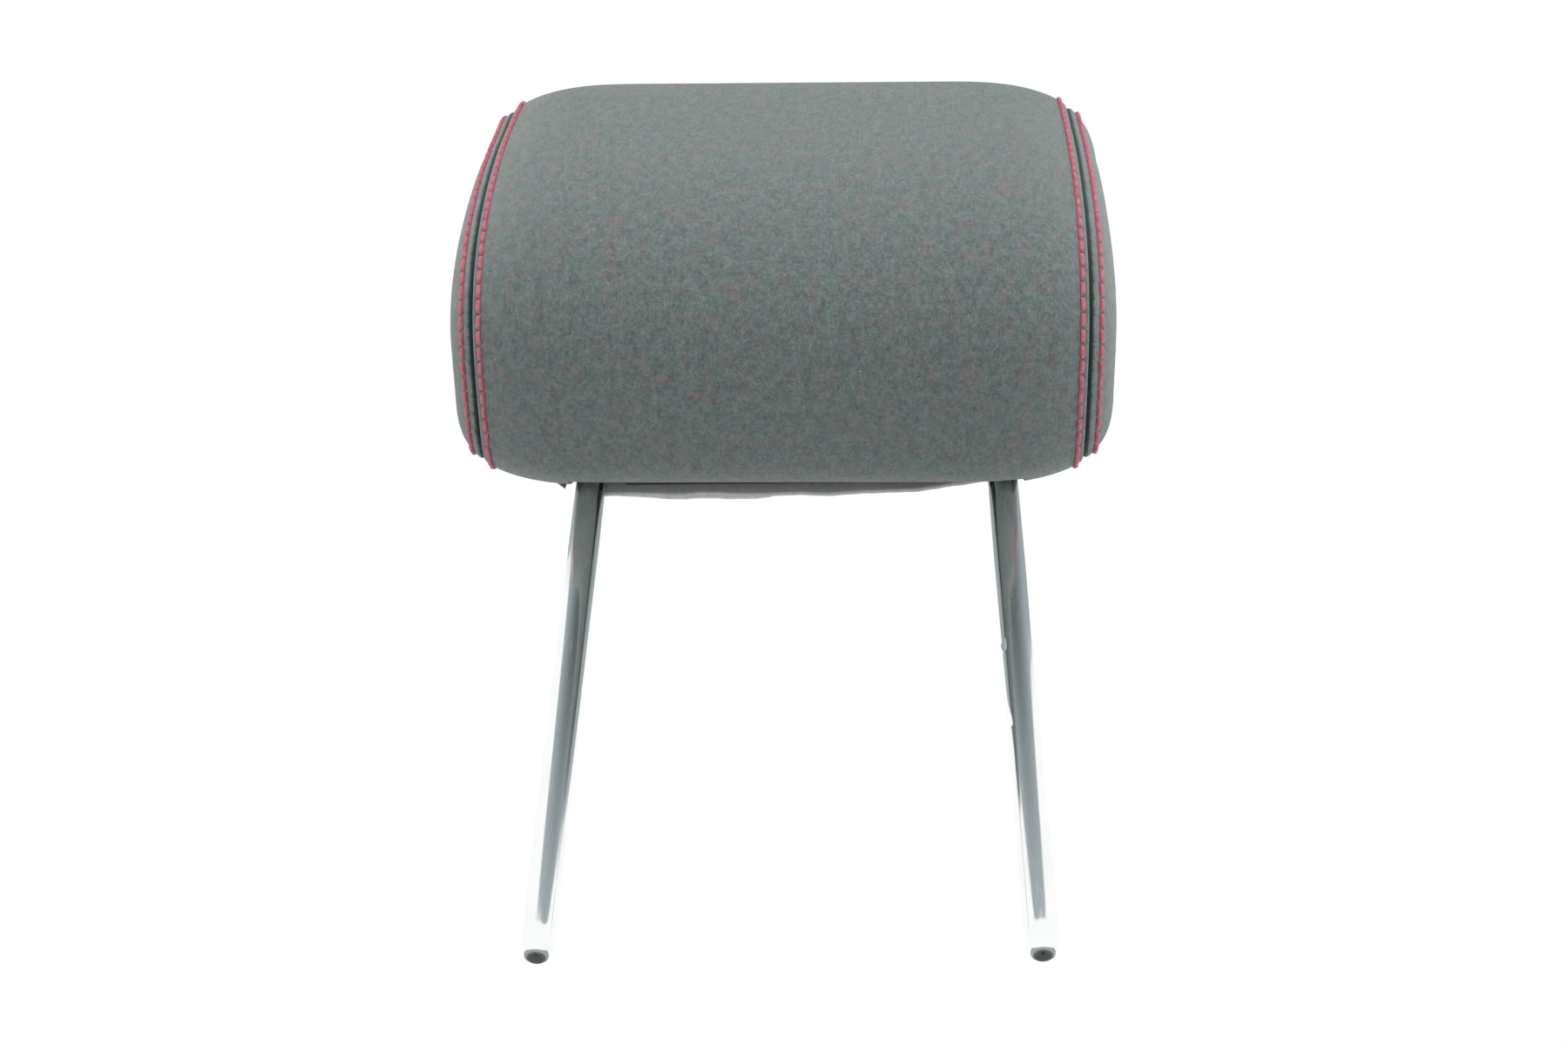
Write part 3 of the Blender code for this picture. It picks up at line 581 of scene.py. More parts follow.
def spline_weights(where, count, wrap):
    """Matrix that blends count evenly spaced values at the given places by a smooth cubic."""
    base = np.floor(where).astype(int)
    part = where - base
    weights = (
        (1.0 - part) ** 3 / 6.0,
        (3.0 * part**3 - 6.0 * part**2 + 4.0) / 6.0,
        (-3.0 * part**3 + 3.0 * part**2 + 3.0 * part + 1.0) / 6.0,
        part**3 / 6.0,
    )
    matrix = np.zeros((len(where), count))
    row = np.arange(len(where))
    for shift, weight in zip((-1, 0, 1, 2), weights):
        column = (base + shift) % count if wrap else np.clip(base + shift, 0, count - 1)
        np.add.at(matrix, (row, column), weight)
    return matrix


def puff_at(puffed, shares, lengths):
    """The simulated puff at shares round the profile and signed lengths along the shoulder."""
    puff, known = puffed
    rows = spline_weights(shares * len(puff), len(puff), True)
    places = (np.clip(lengths, known[0], known[-1]) - known[0]) / (known[1] - known[0])
    return rows @ puff @ spline_weights(places, len(known), False).T


# Cover


def row_count(across, cover, thread, loop):
    """Lengths along a stitch row at the rings of the loop, and the number of stitches that fit in it."""
    section = shoulder_section(np.array([length_at(across, cover.half_width)]), cover.half_width)
    along = lengths_round(sweep(section, loop)[:, 0])
    return along, round(along[-1] / thread.pitch)


def seam_relief(lengths, loop, cover, thread):
    """How deep the thread pulls the cloth in near the stitch rows.

    Each row presses a narrow bell-shaped valley, deepest at the needle holes, once for each stitch."""
    relief = np.zeros((len(loop[0]), len(lengths)))
    for across in (thread.inner_row, thread.outer_row):
        along, count = row_count(across, cover, thread, loop)
        holes = 1.0 - HOLE_EASE + HOLE_EASE * np.cos(2.0 * math.pi * count * along[:-1] / along[-1])
        away = (np.abs(lengths) - length_at(across, cover.half_width)) / cover.valley_width
        relief += cover.stitch_pull * holes[:, None] * np.exp(-(away**2))[None, :]
    return relief


def pad_surface(lengths, depths, shares, cover, thread, puffed):
    """Grid of points of the cover at signed lengths along the shoulder and depths below the face.

    The plain pad is moved along its normals by the simulated puff, less the relief and the depth."""
    loop = profile_loop(shares)
    grid = sweep(shoulder_section(lengths, cover.half_width), loop)
    normals = pad_normals(lengths, loop, cover.half_width)
    moved = puff_at(puffed, shares, lengths) - seam_relief(lengths, loop, cover, thread) - depths[None, :]
    return grid + normals * moved[..., None], normals


def lip(side, cover):
    """Rounded edge of a panel: lengths from the seam and depths, from its face to the groove's floor.

    A quarter circle turns from the face into a straight wall; side is -1 for the centre panel and 1 for
    an end panel."""
    turn = np.linspace(0.0, math.pi / 2.0, 9)
    along = np.concatenate([cover.lip_radius * (1.0 - np.sin(turn)), [0.0, 0.0]]) + cover.seam_gap / 2.0
    depth = cover.lip_radius * (1.0 - np.cos(turn))
    wall = np.array((0.5 * (cover.lip_radius + cover.groove_depth), cover.groove_depth))
    return side * along, np.concatenate([depth, wall])


def seam_spread(cover, side):
    """Lengths on a panel's face, from its lip outwards: fine past the stitch row, then coarser."""
    seam = length_at(cover.seam, cover.half_width)
    start = seam + side * (cover.seam_gap / 2.0 + cover.lip_radius)
    if side > 0:
        edge = length_at(cover.half_width, cover.half_width)
        fine = np.linspace(start, start + END_FINE, 16, endpoint=False)
        return np.concatenate([fine, np.linspace(start + END_FINE, edge, 14)])
    fine = np.linspace(start, start - CENTRE_FINE, 17, endpoint=False)
    return np.concatenate([fine, np.linspace(start - CENTRE_FINE, start - CENTRE_COARSE, 10)])


def sink_slot(grid):
    """The cloth round the posts' slot turned up into it: points inside the slot rise to its floor."""
    inside = smooth((SLOT_HALF_WIDTH + SLOT_ROUNDING - np.abs(grid[..., 0])) / (2.0 * SLOT_ROUNDING))
    inside *= smooth((SLOT_HALF_DEPTH + SLOT_ROUNDING - np.abs(grid[..., 1])) / (2.0 * SLOT_ROUNDING))
    inside *= grid[..., 2] < POST_EXPOSED + SPINE_BOTTOM
    rise = np.maximum(POST_EXPOSED + SLOT_FLOOR - grid[..., 2], 0.0)
    sunk = grid.copy()
    sunk[..., 2] += inside * rise
    return sunk


def make_centre_panel(cover, thread, puffed, finish):
    """Belt of cloth round the pad: its outer face, two lips and its inner face make one closed tube."""
    shares = panel_shares(thread)
    seam = length_at(cover.seam, cover.half_width)
    lip_along, lip_depth = lip(-1.0, cover)
    side = seam_spread(cover, -1.0)
    slot_ends = (SLOT_HALF_WIDTH - PAD_OFFSET, SLOT_HALF_WIDTH + PAD_OFFSET)
    slot_end = [length_at(across, cover.half_width) for across in slot_ends]
    near_end = np.concatenate([end + np.linspace(-SLOT_END_REACH, SLOT_END_REACH, 11) for end in slot_end])
    middle = np.concatenate([np.linspace(0.0, side[-1], 22, endpoint=False)[1:], near_end])
    middle = np.sort(middle[middle < side[-1] - 0.001])
    half = np.concatenate([middle, side[::-1], seam + lip_along[1:]])
    half_depth = np.concatenate([np.zeros(len(middle) + len(side)), lip_depth[1:]])
    back = np.linspace(seam - cover.flap_width, 0.0, 10, endpoint=False)
    back_depth = np.full(len(back), cover.thickness)
    turned_in = seam - cover.flap_width
    lengths = np.concatenate(
        [-half[::-1], [0.0], half, [turned_in], back, [0.0], -back[::-1], [-turned_in]]
    )
    depths = np.concatenate([
        half_depth[::-1], [0.0], half_depth, [cover.groove_depth], back_depth,
        [cover.thickness], back_depth[::-1], [cover.groove_depth],
    ])
    grid, _ = pad_surface(lengths, depths, shares, cover, thread, puffed)
    face = 2 * len(half) + 1
    grid[:, :face] = sink_slot(grid[:, :face])
    sunk = sink_slot(grid[:, face:])
    sunk[..., 2] += np.where((sunk != grid[:, face:]).any(axis=-1), cover.thickness, 0.0)
    grid[:, face:] = sunk
    rows, columns = grid.shape[:2]
    along = np.concatenate([shares, [1.0]]) * profile_length()
    over = np.concatenate([lengths, lengths[:1]])
    return new_piece(
        "centre_panel", grid.reshape(-1, 3), [grid_quads(rows, columns, True, True)], finish,
        [grid_uv(along, over)], "grey_cloth", np.tile(depths, rows),
    )


def make_end_panel(name, side, cover, thread, puffed, finish):
    """Domed end of the pad: the shoulder's outer part, closed by rings that shrink to the end's middle.

    The outer face and the inner face, one cloth thickness below it, meet at the lip in the seam."""
    shares = panel_shares(thread)
    seam = length_at(cover.seam, cover.half_width)
    lip_along, lip_depth = lip(1.0, cover)
    face = seam_spread(cover, 1.0)
    lengths = np.concatenate([seam + lip_along[:0:-1], face])
    depths = np.concatenate([lip_depth[:0:-1], np.zeros(len(face))])
    inner = np.linspace(length_at(cover.half_width, cover.half_width), seam + cover.flap_width, 8)
    inner_depth = np.append(np.full(len(inner), cover.thickness), cover.groove_depth)
    inner = np.append(inner, inner[-1])
    outer_grid, _ = pad_surface(side * lengths, depths, shares, cover, thread, puffed)
    inner_grid, _ = pad_surface(side * inner, inner_depth, shares, cover, thread, puffed)
    shrink = np.linspace(0.0, 1.0, 26)[1:-1]
    blocks = []
    for edge, crown in ((outer_grid[:, -1], cover.end_crown), (inner_grid[:, 0], 0.0)):
        middle = edge.mean(axis=0)
        cap = edge[:, None, :] + (middle - edge)[:, None, :] * shrink[None, :, None]
        cap[..., 0] += side * crown * smooth(shrink)[None, :]
        blocks.append((cap, middle + np.array((side * crown, 0.0, 0.0))))
    (outer_cap, outer_middle), (inner_cap, inner_middle) = blocks
    grid = np.concatenate([inner_cap[:, ::-1], inner_grid, outer_grid, outer_cap], axis=1)
    rows, columns = grid.shape[:2]
    points = np.concatenate([grid.reshape(-1, 3), [inner_middle, outer_middle]])
    first = np.arange(rows) * columns
    faces = [
        grid_quads(rows, columns, wrap_rows=True),
        fan(first, len(points) - 2),
        fan(first + columns - 1, len(points) - 1)[:, ::-1],
    ]
    uv = [points[block][..., 1:] for block in faces]
    none = np.zeros(len(shrink))
    depth = np.tile(np.concatenate([none, inner_depth, depths, none]), rows)
    return new_piece(name, points, faces, finish, uv, "grey_cloth", np.append(depth, [0.0, 0.0]))


def thread_template(thread, length):
    """One stitch along +X from its middle: a tube of eight sides whose ends dive under the cloth."""
    share = np.linspace(-1.0, 1.0, 11)
    height = thread.radius * (0.75 - 2.2 * np.abs(share) ** 8)
    radius = thread.radius * np.sqrt(1.0 - 0.75 * np.abs(share) ** 6)
    centre = np.stack([0.5 * length * share, np.zeros(len(share)), height], axis=-1)
    angle = np.linspace(0.0, 2.0 * math.pi, THREAD_SIDES, endpoint=False)
    ring = np.stack([np.zeros(THREAD_SIDES), np.cos(angle), np.sin(angle)], axis=-1)
    points = centre[:, None, :] + ring[None, :, :] * radius[:, None, None]
    quads = grid_quads(len(share), THREAD_SIDES, wrap_columns=True)
    last = (len(share) - 1) * THREAD_SIDES
    ends = np.array([[0, 3, 2, 1], [0, 5, 4, 3], [0, 7, 6, 5], [0, 1, 2, 3], [0, 3, 4, 5], [0, 5, 6, 7]])
    ends[3:] += last
    along = np.linspace(0.0, length, len(share))
    around = np.linspace(0.0, 2.0 * math.pi * thread.radius, THREAD_SIDES + 1)
    points = points.reshape(-1, 3)
    uv = np.concatenate([grid_uv(along, around), points[ends][..., :2]])
    return points, np.concatenate([quads, ends]), uv


def make_stitch_row(name, side, across, cover, thread, puffed, finish):
    """A row of separate stitches: one template turned to the cloth at the middle of each stitch."""
    shares = panel_shares(thread)
    loop = profile_loop(shares)
    along, count = row_count(across, cover, thread, loop)
    track = side * np.array([length_at(across, cover.half_width)])
    grid, normals = pad_surface(track, np.zeros(1), shares, cover, thread, puffed)
    pitch = along[-1] / count
    middle = (np.arange(count) + 0.5) * pitch
    origin = round_loop(grid[:, 0], along, middle)
    normal = unit(round_loop(normals[:, 0], along, middle))
    before = round_loop(grid[:, 0], along, middle - 0.3 * pitch)
    ahead = round_loop(grid[:, 0], along, middle + 0.3 * pitch) - before
    ahead = unit(ahead - normal * np.einsum("ij,ij->i", ahead, normal)[:, None])
    across_it = np.cross(normal, ahead)
    template, quads, flat = thread_template(thread, pitch * thread.coverage)
    lean = THREAD_LEAN * np.sin(np.arange(count) * THREAD_LEAN_TURN)
    ahead = unit(ahead + across_it * lean[:, None])
    across_it = np.cross(normal, ahead)
    frames = np.stack([ahead, across_it, normal], axis=1)
    points = origin[:, None, :] + np.einsum("mk,nkj->nmj", template, frames)
    faces = quads[None, :, :] + (np.arange(count) * len(template))[:, None, None]
    uv = flat[None] + np.stack([middle, np.zeros(count)], axis=-1)[:, None, None, :]
    return new_piece(
        name, points.reshape(-1, 3), [faces.reshape(-1, 4)], finish, [uv.reshape(-1, 4, 2)], "red_thread"
    )


# Hoop


def hoop_line(hoop, heights):
    """Points up the left leg, round the two bends and down the right leg, with the legs' own heights."""
    half, radius = hoop.spacing / 2.0, hoop.bend_radius
    top = POST_EXPOSED + hoop.crossbar_rise
    turn = np.linspace(0.0, math.pi / 2.0, 17)
    across, height = radius * (1.0 - np.cos(turn)) - half, top - radius * (1.0 - np.sin(turn))
    bend = np.stack([across, np.zeros(len(turn)), height], axis=-1)
    leg = np.stack([np.full(len(heights), -half), np.zeros(len(heights)), heights], axis=-1)
    left = np.concatenate([leg, bend])
    return np.concatenate([left, (left * np.array((-1.0, 1.0, 1.0)))[::-1]])


def tube_grid(line, radii, sides):
    """Rings square to a line in the XZ plane, the first side of each facing the middle of the hoop."""
    ahead = unit(np.diff(line, axis=0))
    tangent = unit(np.concatenate([ahead[:1], ahead[:-1] + ahead[1:], ahead[-1:]]))
    depth = np.array((0.0, 1.0, 0.0))
    inward = np.cross(depth, tangent)
    angle = np.linspace(0.0, 2.0 * math.pi, sides, endpoint=False)
    ring = np.cos(angle)[None, :, None] * inward[:, None, :] + np.sin(angle)[None, :, None] * depth
    return line[:, None, :] + ring * radii[:, None, None]


def cut_notches(grid, hoop):
    """Two notches in the right leg's inner side: a square one, and a ramp down to a square ledge.

    A point inside a notch moves out to the notch's floor, which lies a depth below the tube's surface."""
    surface = hoop.spacing / 2.0 - hoop.tube_radius
    height = grid[..., 2]
    upper = (height > UPPER_NOTCH_BOTTOM) & (height < UPPER_NOTCH_TOP)
    ramp = (LOWER_NOTCH_LEDGE + LOWER_NOTCH_RAMP - height) / LOWER_NOTCH_RAMP
    lower = np.where((ramp > 0.0) & (ramp < 1.0), ramp, 0.0)
    floor = surface + hoop.notch_depth * np.maximum(upper, lower)
    cut = grid.copy()
    right = grid[..., 0] > 0.0
    cut[..., 0] = np.where(right & (grid[..., 0] < floor) & (floor > surface), floor, grid[..., 0])
    return cut


def leg_heights(hoop):
    """Heights of the rings on a leg, above the swaged end: even ones, and pairs at the notches' edges."""
    ramp_top = LOWER_NOTCH_LEDGE + LOWER_NOTCH_RAMP
    edges = np.array((UPPER_NOTCH_BOTTOM, UPPER_NOTCH_TOP, LOWER_NOTCH_LEDGE, ramp_top))
    pairs = np.concatenate([edges - SHORT_STEP / 2.0, edges + SHORT_STEP / 2.0])
    ramp = np.linspace(LOWER_NOTCH_LEDGE, ramp_top, 12)[1:-1]
    leg_top = POST_EXPOSED + hoop.crossbar_rise - hoop.bend_radius
    even = np.linspace(hoop.tip_length, leg_top, LEG_RINGS)[1:-1]
    even = even[np.abs(even[:, None] - edges[None, :]).min(axis=1) > 0.001]
    return np.sort(np.concatenate([even, pairs, ramp]))


def make_hoop(hoop, finish):
    """Bent tube with swaged ends; its outer wall and its bore join at the two end rings.

    The end faces are dished and nearly closed, and are marked, as is the bore, as bare steel."""
    turn = np.linspace(0.0, math.pi / 2.0, 15)
    swage = hoop.tip_length * (1.0 - np.cos(turn))
    swage_radii = hoop.tip_face_radius + (hoop.tube_radius - hoop.tip_face_radius) * np.sin(turn)
    swage = np.concatenate([[0.0], swage + hoop.tip_rim * 0.6])
    swage_radii = np.concatenate([[hoop.tip_face_radius - hoop.tip_rim], swage_radii])
    heights = np.concatenate([swage, leg_heights(hoop)])
    line = hoop_line(hoop, heights)
    body = np.full(len(line) - 2 * len(swage), hoop.tube_radius)
    outer = tube_grid(line, np.concatenate([swage_radii, body, swage_radii[::-1]]), hoop.sides)
    outer = cut_notches(outer, hoop)
    bore_heights = np.append(np.array((0.0, 0.5, 1.0, 2.0)) * hoop.tip_dish, hoop.tip_length)
    face, hole = hoop.tip_face_radius, hoop.tip_hole_radius
    bore_radii = np.array((face - 2.0 * hoop.tip_rim, 0.6 * face, hole, hole, hoop.bore_radius))
    bore_line = hoop_line(hoop, bore_heights)
    body = np.full(len(bore_line) - 2 * len(bore_radii), hoop.bore_radius)
    inner = tube_grid(bore_line, np.concatenate([bore_radii, body, bore_radii[::-1]]), hoop.sides)
    grid = np.concatenate([outer, inner[::-1]])
    bare = np.concatenate([np.zeros(len(outer)), np.ones(len(inner))])
    bare[[0, len(outer) - 1]] = 1.0
    rows, columns = grid.shape[:2]
    along = np.concatenate([[0.0], np.cumsum(np.linalg.norm(np.diff(grid[:, 0], axis=0), axis=1)), [0.0]])
    around = np.linspace(0.0, 2.0 * math.pi * hoop.tube_radius, columns + 1)
    piece = new_piece(
        "chromed_hoop", grid.reshape(-1, 3), [grid_quads(rows, columns, True, True)], finish,
        [grid_uv(along, around)], "chrome", np.repeat(bare, columns),
    )
    piece.data.set_sharp_from_angle(angle=math.radians(38.0))
    return piece


# Closing strip


def sine_wave(where, height, turns, phase):
    """A height times the sine of the place times the turns plus the phase."""
    return height * np.sin(where * turns + phase)


def make_fold(name, back, lows, thickness, finish):
    """A folded edge of cloth that hangs in the slot: a rounded slip section carried across the pad.

    lows holds (across, height) pairs, between which the fold's lower edge runs, with a slight wave."""
    across = np.linspace(lows[0][0], lows[-1][0], FOLD_STEPS)
    low = np.interp(across, *np.array(lows).T) + sum(sine_wave(across, *wave) for wave in FOLD_WAVES)
    half = thickness / 2.0
    upper = np.linspace(0.0, math.pi, FOLD_ROUND)
    turn = np.concatenate([upper, upper + math.pi])
    reach = np.maximum((HEM_TOP - low) / 2.0 - half, half * 0.1)
    middle = (low + HEM_TOP) / 2.0
    ends = np.repeat((1.0, -1.0), FOLD_ROUND)
    up = middle[:, None] + ends[None, :] * reach[:, None] + half * np.sin(turn)[None, :]
    sway = sine_wave(across, *FOLD_SWAY)
    forward = back + half * (1.0 + np.cos(turn))[None, :] + sway[:, None]
    grid = place(forward, up, across[:, None])
    rows, columns = grid.shape[:2]
    points = np.concatenate([grid.reshape(-1, 3), grid[0].mean(axis=0)[None], grid[-1].mean(axis=0)[None]])
    first = np.arange(columns)
    last = first + (rows - 1) * columns
    faces = [
        grid_quads(rows, columns, wrap_columns=True),
        fan(first, len(points) - 2)[:, ::-1],
        fan(last, len(points) - 1),
    ]
    round_it = lengths_round(grid[rows // 2])
    planar = points[:, 1:]
    uv = [grid_uv(across, round_it), planar[faces[1]], planar[faces[2]]]
    return new_piece(name, points, faces, finish, uv, "grey_cloth")


# Shader nodes


class Graph:
    """A node tree with short ways to add nodes, set their values and join them."""

    def __init__(self, tree):
        self.tree = tree

    def link(self, value, socket):
        """Join an output to an input."""
        self.tree.links.new(value, socket)

    def node(self, kind, values=None, **settings):
        """A new node with its settings, and values for its inputs: a socket to link, or a plain value."""
        made = self.tree.nodes.new(kind)
        for key, value in settings.items():
            setattr(made, key, value)
        for key, value in (values or {}).items():
            if isinstance(value, bpy.types.NodeSocket):
                self.link(value, made.inputs[key])
            else:
                made.inputs[key].default_value = value
        return made

    def math(self, operation, *values):
        """A Math node's result."""
        return self.node("ShaderNodeMath", dict(enumerate(values)), operation=operation).outputs[0]

    def ramp(self, value, low, high, start=0.0, end=1.0):
        """The value mapped straight from one range to another, and held at its ends."""
        values = {"Value": value, "From Min": low, "From Max": high, "To Min": start, "To Max": end}
        return self.node("ShaderNodeMapRange", values).outputs[0]

    def mix(self, share, first, second):
        """A colour between two colours."""
        return self.node("ShaderNodeMix", {0: share, 6: first, 7: second}, data_type="RGBA").outputs[2]

    def noise(self, vector, scale, detail=2.0, roughness=0.5):
        """Noise from 0 to 1."""
        values = {"Vector": vector, "Scale": scale, "Detail": detail, "Roughness": roughness}
        return self.node("ShaderNodeTexNoise", values).outputs["Fac"]

    def scaled(self, vector, scale):
        """A vector pattern stretched by three factors."""
        return self.node("ShaderNodeMapping", {"Vector": vector, "Scale": scale}).outputs[0]


def new_group(name, inputs, outputs):
    """An empty node group with float and vector sockets, as (graph, input node, output node)."""
    tree = bpy.data.node_groups.new(name, "ShaderNodeTree")
    for direction, sockets in (("INPUT", inputs), ("OUTPUT", outputs)):
        for label, kind in sockets:
            tree.interface.new_socket(name=label, in_out=direction, socket_type=kind)
    graph = Graph(tree)
    return graph, graph.node("NodeGroupInput"), graph.node("NodeGroupOutput")


FLOAT = "NodeSocketFloat"
VECTOR = "NodeSocketVector"


def knit_group():
    """Plain knit: columns of V-shaped loops. Height is the yarn's relief, and Gap the dark holes."""
    graph, given, out = new_group(
        "knit", [("Vector", VECTOR), ("Pitch", FLOAT)], [("Height", FLOAT), ("Gap", FLOAT)]
    )
    parts = graph.node("ShaderNodeSeparateXYZ", {0: given.outputs["Vector"]})
    warp = graph.noise(given.outputs["Vector"], LOOP_SCALE, 1.0)
    wander = graph.math("MULTIPLY", graph.math("SUBTRACT", warp, 0.5), 0.7)
    wale = graph.math("ADD", graph.math("DIVIDE", parts.outputs[1], given.outputs["Pitch"]), wander)
    course_pitch = graph.math("MULTIPLY", given.outputs["Pitch"], 0.8)
    course = graph.math("DIVIDE", parts.outputs[0], course_pitch)
    across = graph.math("ABSOLUTE", graph.math("SUBTRACT", graph.math("FRACT", wale), 0.5))
    slanted = graph.math("ADD", graph.math("MULTIPLY_ADD", across, 1.3, course), wander)
    loops = graph.math("SINE", graph.math("MULTIPLY", slanted, 2.0 * math.pi))
    ridge = graph.math("SINE", graph.math("MULTIPLY", graph.math("FRACT", wale), math.pi))
    crest = graph.math("MULTIPLY_ADD", loops, 0.5, 0.5)
    rise = graph.math("MULTIPLY", crest, graph.math("POWER", ridge, 0.6))
    graph.link(rise, out.inputs["Height"])
    graph.link(graph.ramp(rise, 0.0, 0.35, 1.0, 0.0), out.inputs["Gap"])
    return graph.tree


def heather_group():
    """Uneven dyeing of a heathered yarn.

    Flecks are small light spots, Cast and Cool patches of two hues, and Fibre light hairs."""
    outputs = [("Flecks", FLOAT), ("Cast", FLOAT), ("Cool", FLOAT), ("Fibre", FLOAT)]
    graph, given, out = new_group("heather", [("Vector", VECTOR)], outputs)
    vector = given.outputs["Vector"]
    fine = graph.noise(vector, FLECK_SCALE, 4.0, 0.75)
    broad = graph.noise(vector, BLOTCH_SCALE, 3.0, 0.65)
    both = graph.math("ADD", graph.math("MULTIPLY", fine, 0.6), graph.math("MULTIPLY", broad, 0.4))
    graph.link(graph.ramp(both, 0.39, 0.61), out.inputs["Flecks"])
    graph.link(graph.ramp(graph.noise(vector, CAST_SCALE), 0.38, 0.62), out.inputs["Cast"])
    graph.link(graph.ramp(graph.noise(vector, COOL_SCALE), 0.45, 0.65), out.inputs["Cool"])
    hairs = graph.noise(graph.scaled(vector, (0.35, 1.0, 1.0)), HAIR_SCALE, 1.0)
    graph.link(graph.ramp(hairs, 0.62, 0.72), out.inputs["Fibre"])
    return graph.tree


def lint_group():
    """Stray lint: a few small pale specks, one in some cells of a coarse random pattern."""
    graph, given, out = new_group("lint", [("Vector", VECTOR), ("Spacing", FLOAT)], [("Mask", FLOAT)])
    scale = graph.math("DIVIDE", 1.0, given.outputs["Spacing"])
    cells = graph.node("ShaderNodeTexVoronoi", {"Vector": given.outputs["Vector"], "Scale": scale})
    size = graph.node("ShaderNodeSeparateColor", {0: cells.outputs["Color"]})
    radius = graph.ramp(size.outputs[0], 0.45, 1.0, 0.0, 0.022)
    near = graph.math("LESS_THAN", cells.outputs["Distance"], radius)
    graph.link(near, out.inputs["Mask"])
    return graph.tree


def scuff_group():
    """Marks of sliding and handling. Scratch is fine lines along the piece, Haze soft smears."""
    graph, given, out = new_group("scuff", [("Vector", VECTOR)], [("Scratch", FLOAT), ("Haze", FLOAT)])
    vector = given.outputs["Vector"]
    lines = graph.noise(graph.scaled(vector, (0.02, 1.0, 1.0)), SCRATCH_SCALE, 2.0, 0.6)
    broken = graph.noise(graph.scaled(vector, (0.5, 1.0, 1.0)), 60.0)
    scratch = graph.math("MULTIPLY", graph.ramp(lines, 0.60, 0.72), graph.ramp(broken, 0.45, 0.60))
    graph.link(scratch, out.inputs["Scratch"])
    graph.link(graph.ramp(graph.noise(vector, HAZE_SCALE, 4.0, 0.6), 0.40, 0.75), out.inputs["Haze"])
    return graph.tree


def grain_group():
    """Fine pebbled grain of moulded plastic as a Height, with slow Cast of its gloss."""
    graph, given, out = new_group("grain", [("Vector", VECTOR)], [("Height", FLOAT), ("Cast", FLOAT)])
    vector = given.outputs["Vector"]
    values = {"Vector": vector, "Scale": PEBBLE_SCALE}
    pebbles = graph.node("ShaderNodeTexVoronoi", values, feature="SMOOTH_F1")
    graph.link(pebbles.outputs["Distance"], out.inputs["Height"])
    graph.link(graph.noise(vector, 50.0, 3.0), out.inputs["Cast"])
    return graph.tree


def use_group(graph, build, **values):
    """Outputs of a node of one of the shared groups, built the first time it is asked for."""
    tree = bpy.data.node_groups.get(build.__name__.removesuffix("_group")) or build()
    return graph.node("ShaderNodeGroup", values, node_tree=tree).outputs


def new_material(name, **constants):
    """A Principled material with plain values on the shader, as (material, graph, shader)."""
    made = bpy.data.materials.new(name)
    made.use_nodes = True
    shader = made.node_tree.nodes["Principled BSDF"]
    for label, value in constants.items():
        shader.inputs[label.replace("_", " ")].default_value = value
    return made, Graph(made.node_tree), shader


def bump(graph, shader, height, strength, distance):
    """A relief on the material's normal."""
    values = {"Height": height, "Strength": strength, "Distance": distance}
    graph.link(graph.node("ShaderNodeBump", values).outputs[0], shader.inputs["Normal"])


def rgba(colour, factor=1.0):
    """A colour with full alpha, made lighter or darker by a factor."""
    return (*(min(channel * factor, 1.0) for channel in colour), 1.0)


def cloth_material(name, cover):
    """Heathered knit: loops, dark gaps, uneven yarn, lint, soft sheen from its fuzz; painted shade in the
    grooves.
    """
    made, graph, shader = new_material(
        name, Roughness=0.92, Specular_IOR_Level=0.18, Sheen_Weight=0.55, Sheen_Roughness=0.45,
        Sheen_Tint=SHEEN_COLOUR,
    )
    vector = graph.node("ShaderNodeUVMap").outputs[0]
    knit = use_group(graph, knit_group, Vector=vector, Pitch=cover.knit_pitch)
    heather = use_group(graph, heather_group, Vector=vector)
    lint = use_group(graph, lint_group, Vector=vector, Spacing=LINT_SPACING)
    yarn = graph.mix(heather["Flecks"], rgba(cover.dark_yarn), rgba(cover.cloth_colour, YARN_LIGHT))
    green_to_rose = graph.mix(heather["Cast"], rgba(GREEN_CAST), rgba(ROSE_CAST))
    hue = graph.mix(heather["Cool"], green_to_rose, rgba(COOL_CAST))
    cast = graph.mix(HUE_SHARE, yarn, hue)
    hairs = graph.mix(graph.math("MULTIPLY", heather["Fibre"], 0.30), cast, rgba(cover.cloth_colour, 2.2))
    shaded = graph.mix(graph.math("MULTIPLY", knit["Gap"], 0.30), hairs, rgba(cover.dark_yarn, 0.55))
    speckled = graph.mix(graph.math("MULTIPLY", lint["Mask"], 0.75), shaded, rgba(LINT_COLOUR))
    # Painted shade in the seams' grooves: below a depth the cloth turns to the dark groove colour, its edge
    # made ragged by the flecks
    depth = graph.node("ShaderNodeAttribute", attribute_name="mark").outputs["Fac"]
    jittered_depth = graph.math("MULTIPLY_ADD", heather["Flecks"], -GROOVE_SHADE_JITTER, depth)
    groove = graph.ramp(jittered_depth, 0.0, cover.groove_fade)
    groove_shaded = graph.mix(groove, speckled, rgba(cover.groove_colour))
    graph.link(groove_shaded, shader.inputs["Base Color"])
    fuzz = graph.math("MULTIPLY_ADD", heather["Flecks"], 0.35, knit["Height"])
    bump(graph, shader, fuzz, 0.55, 0.0004)
    return made


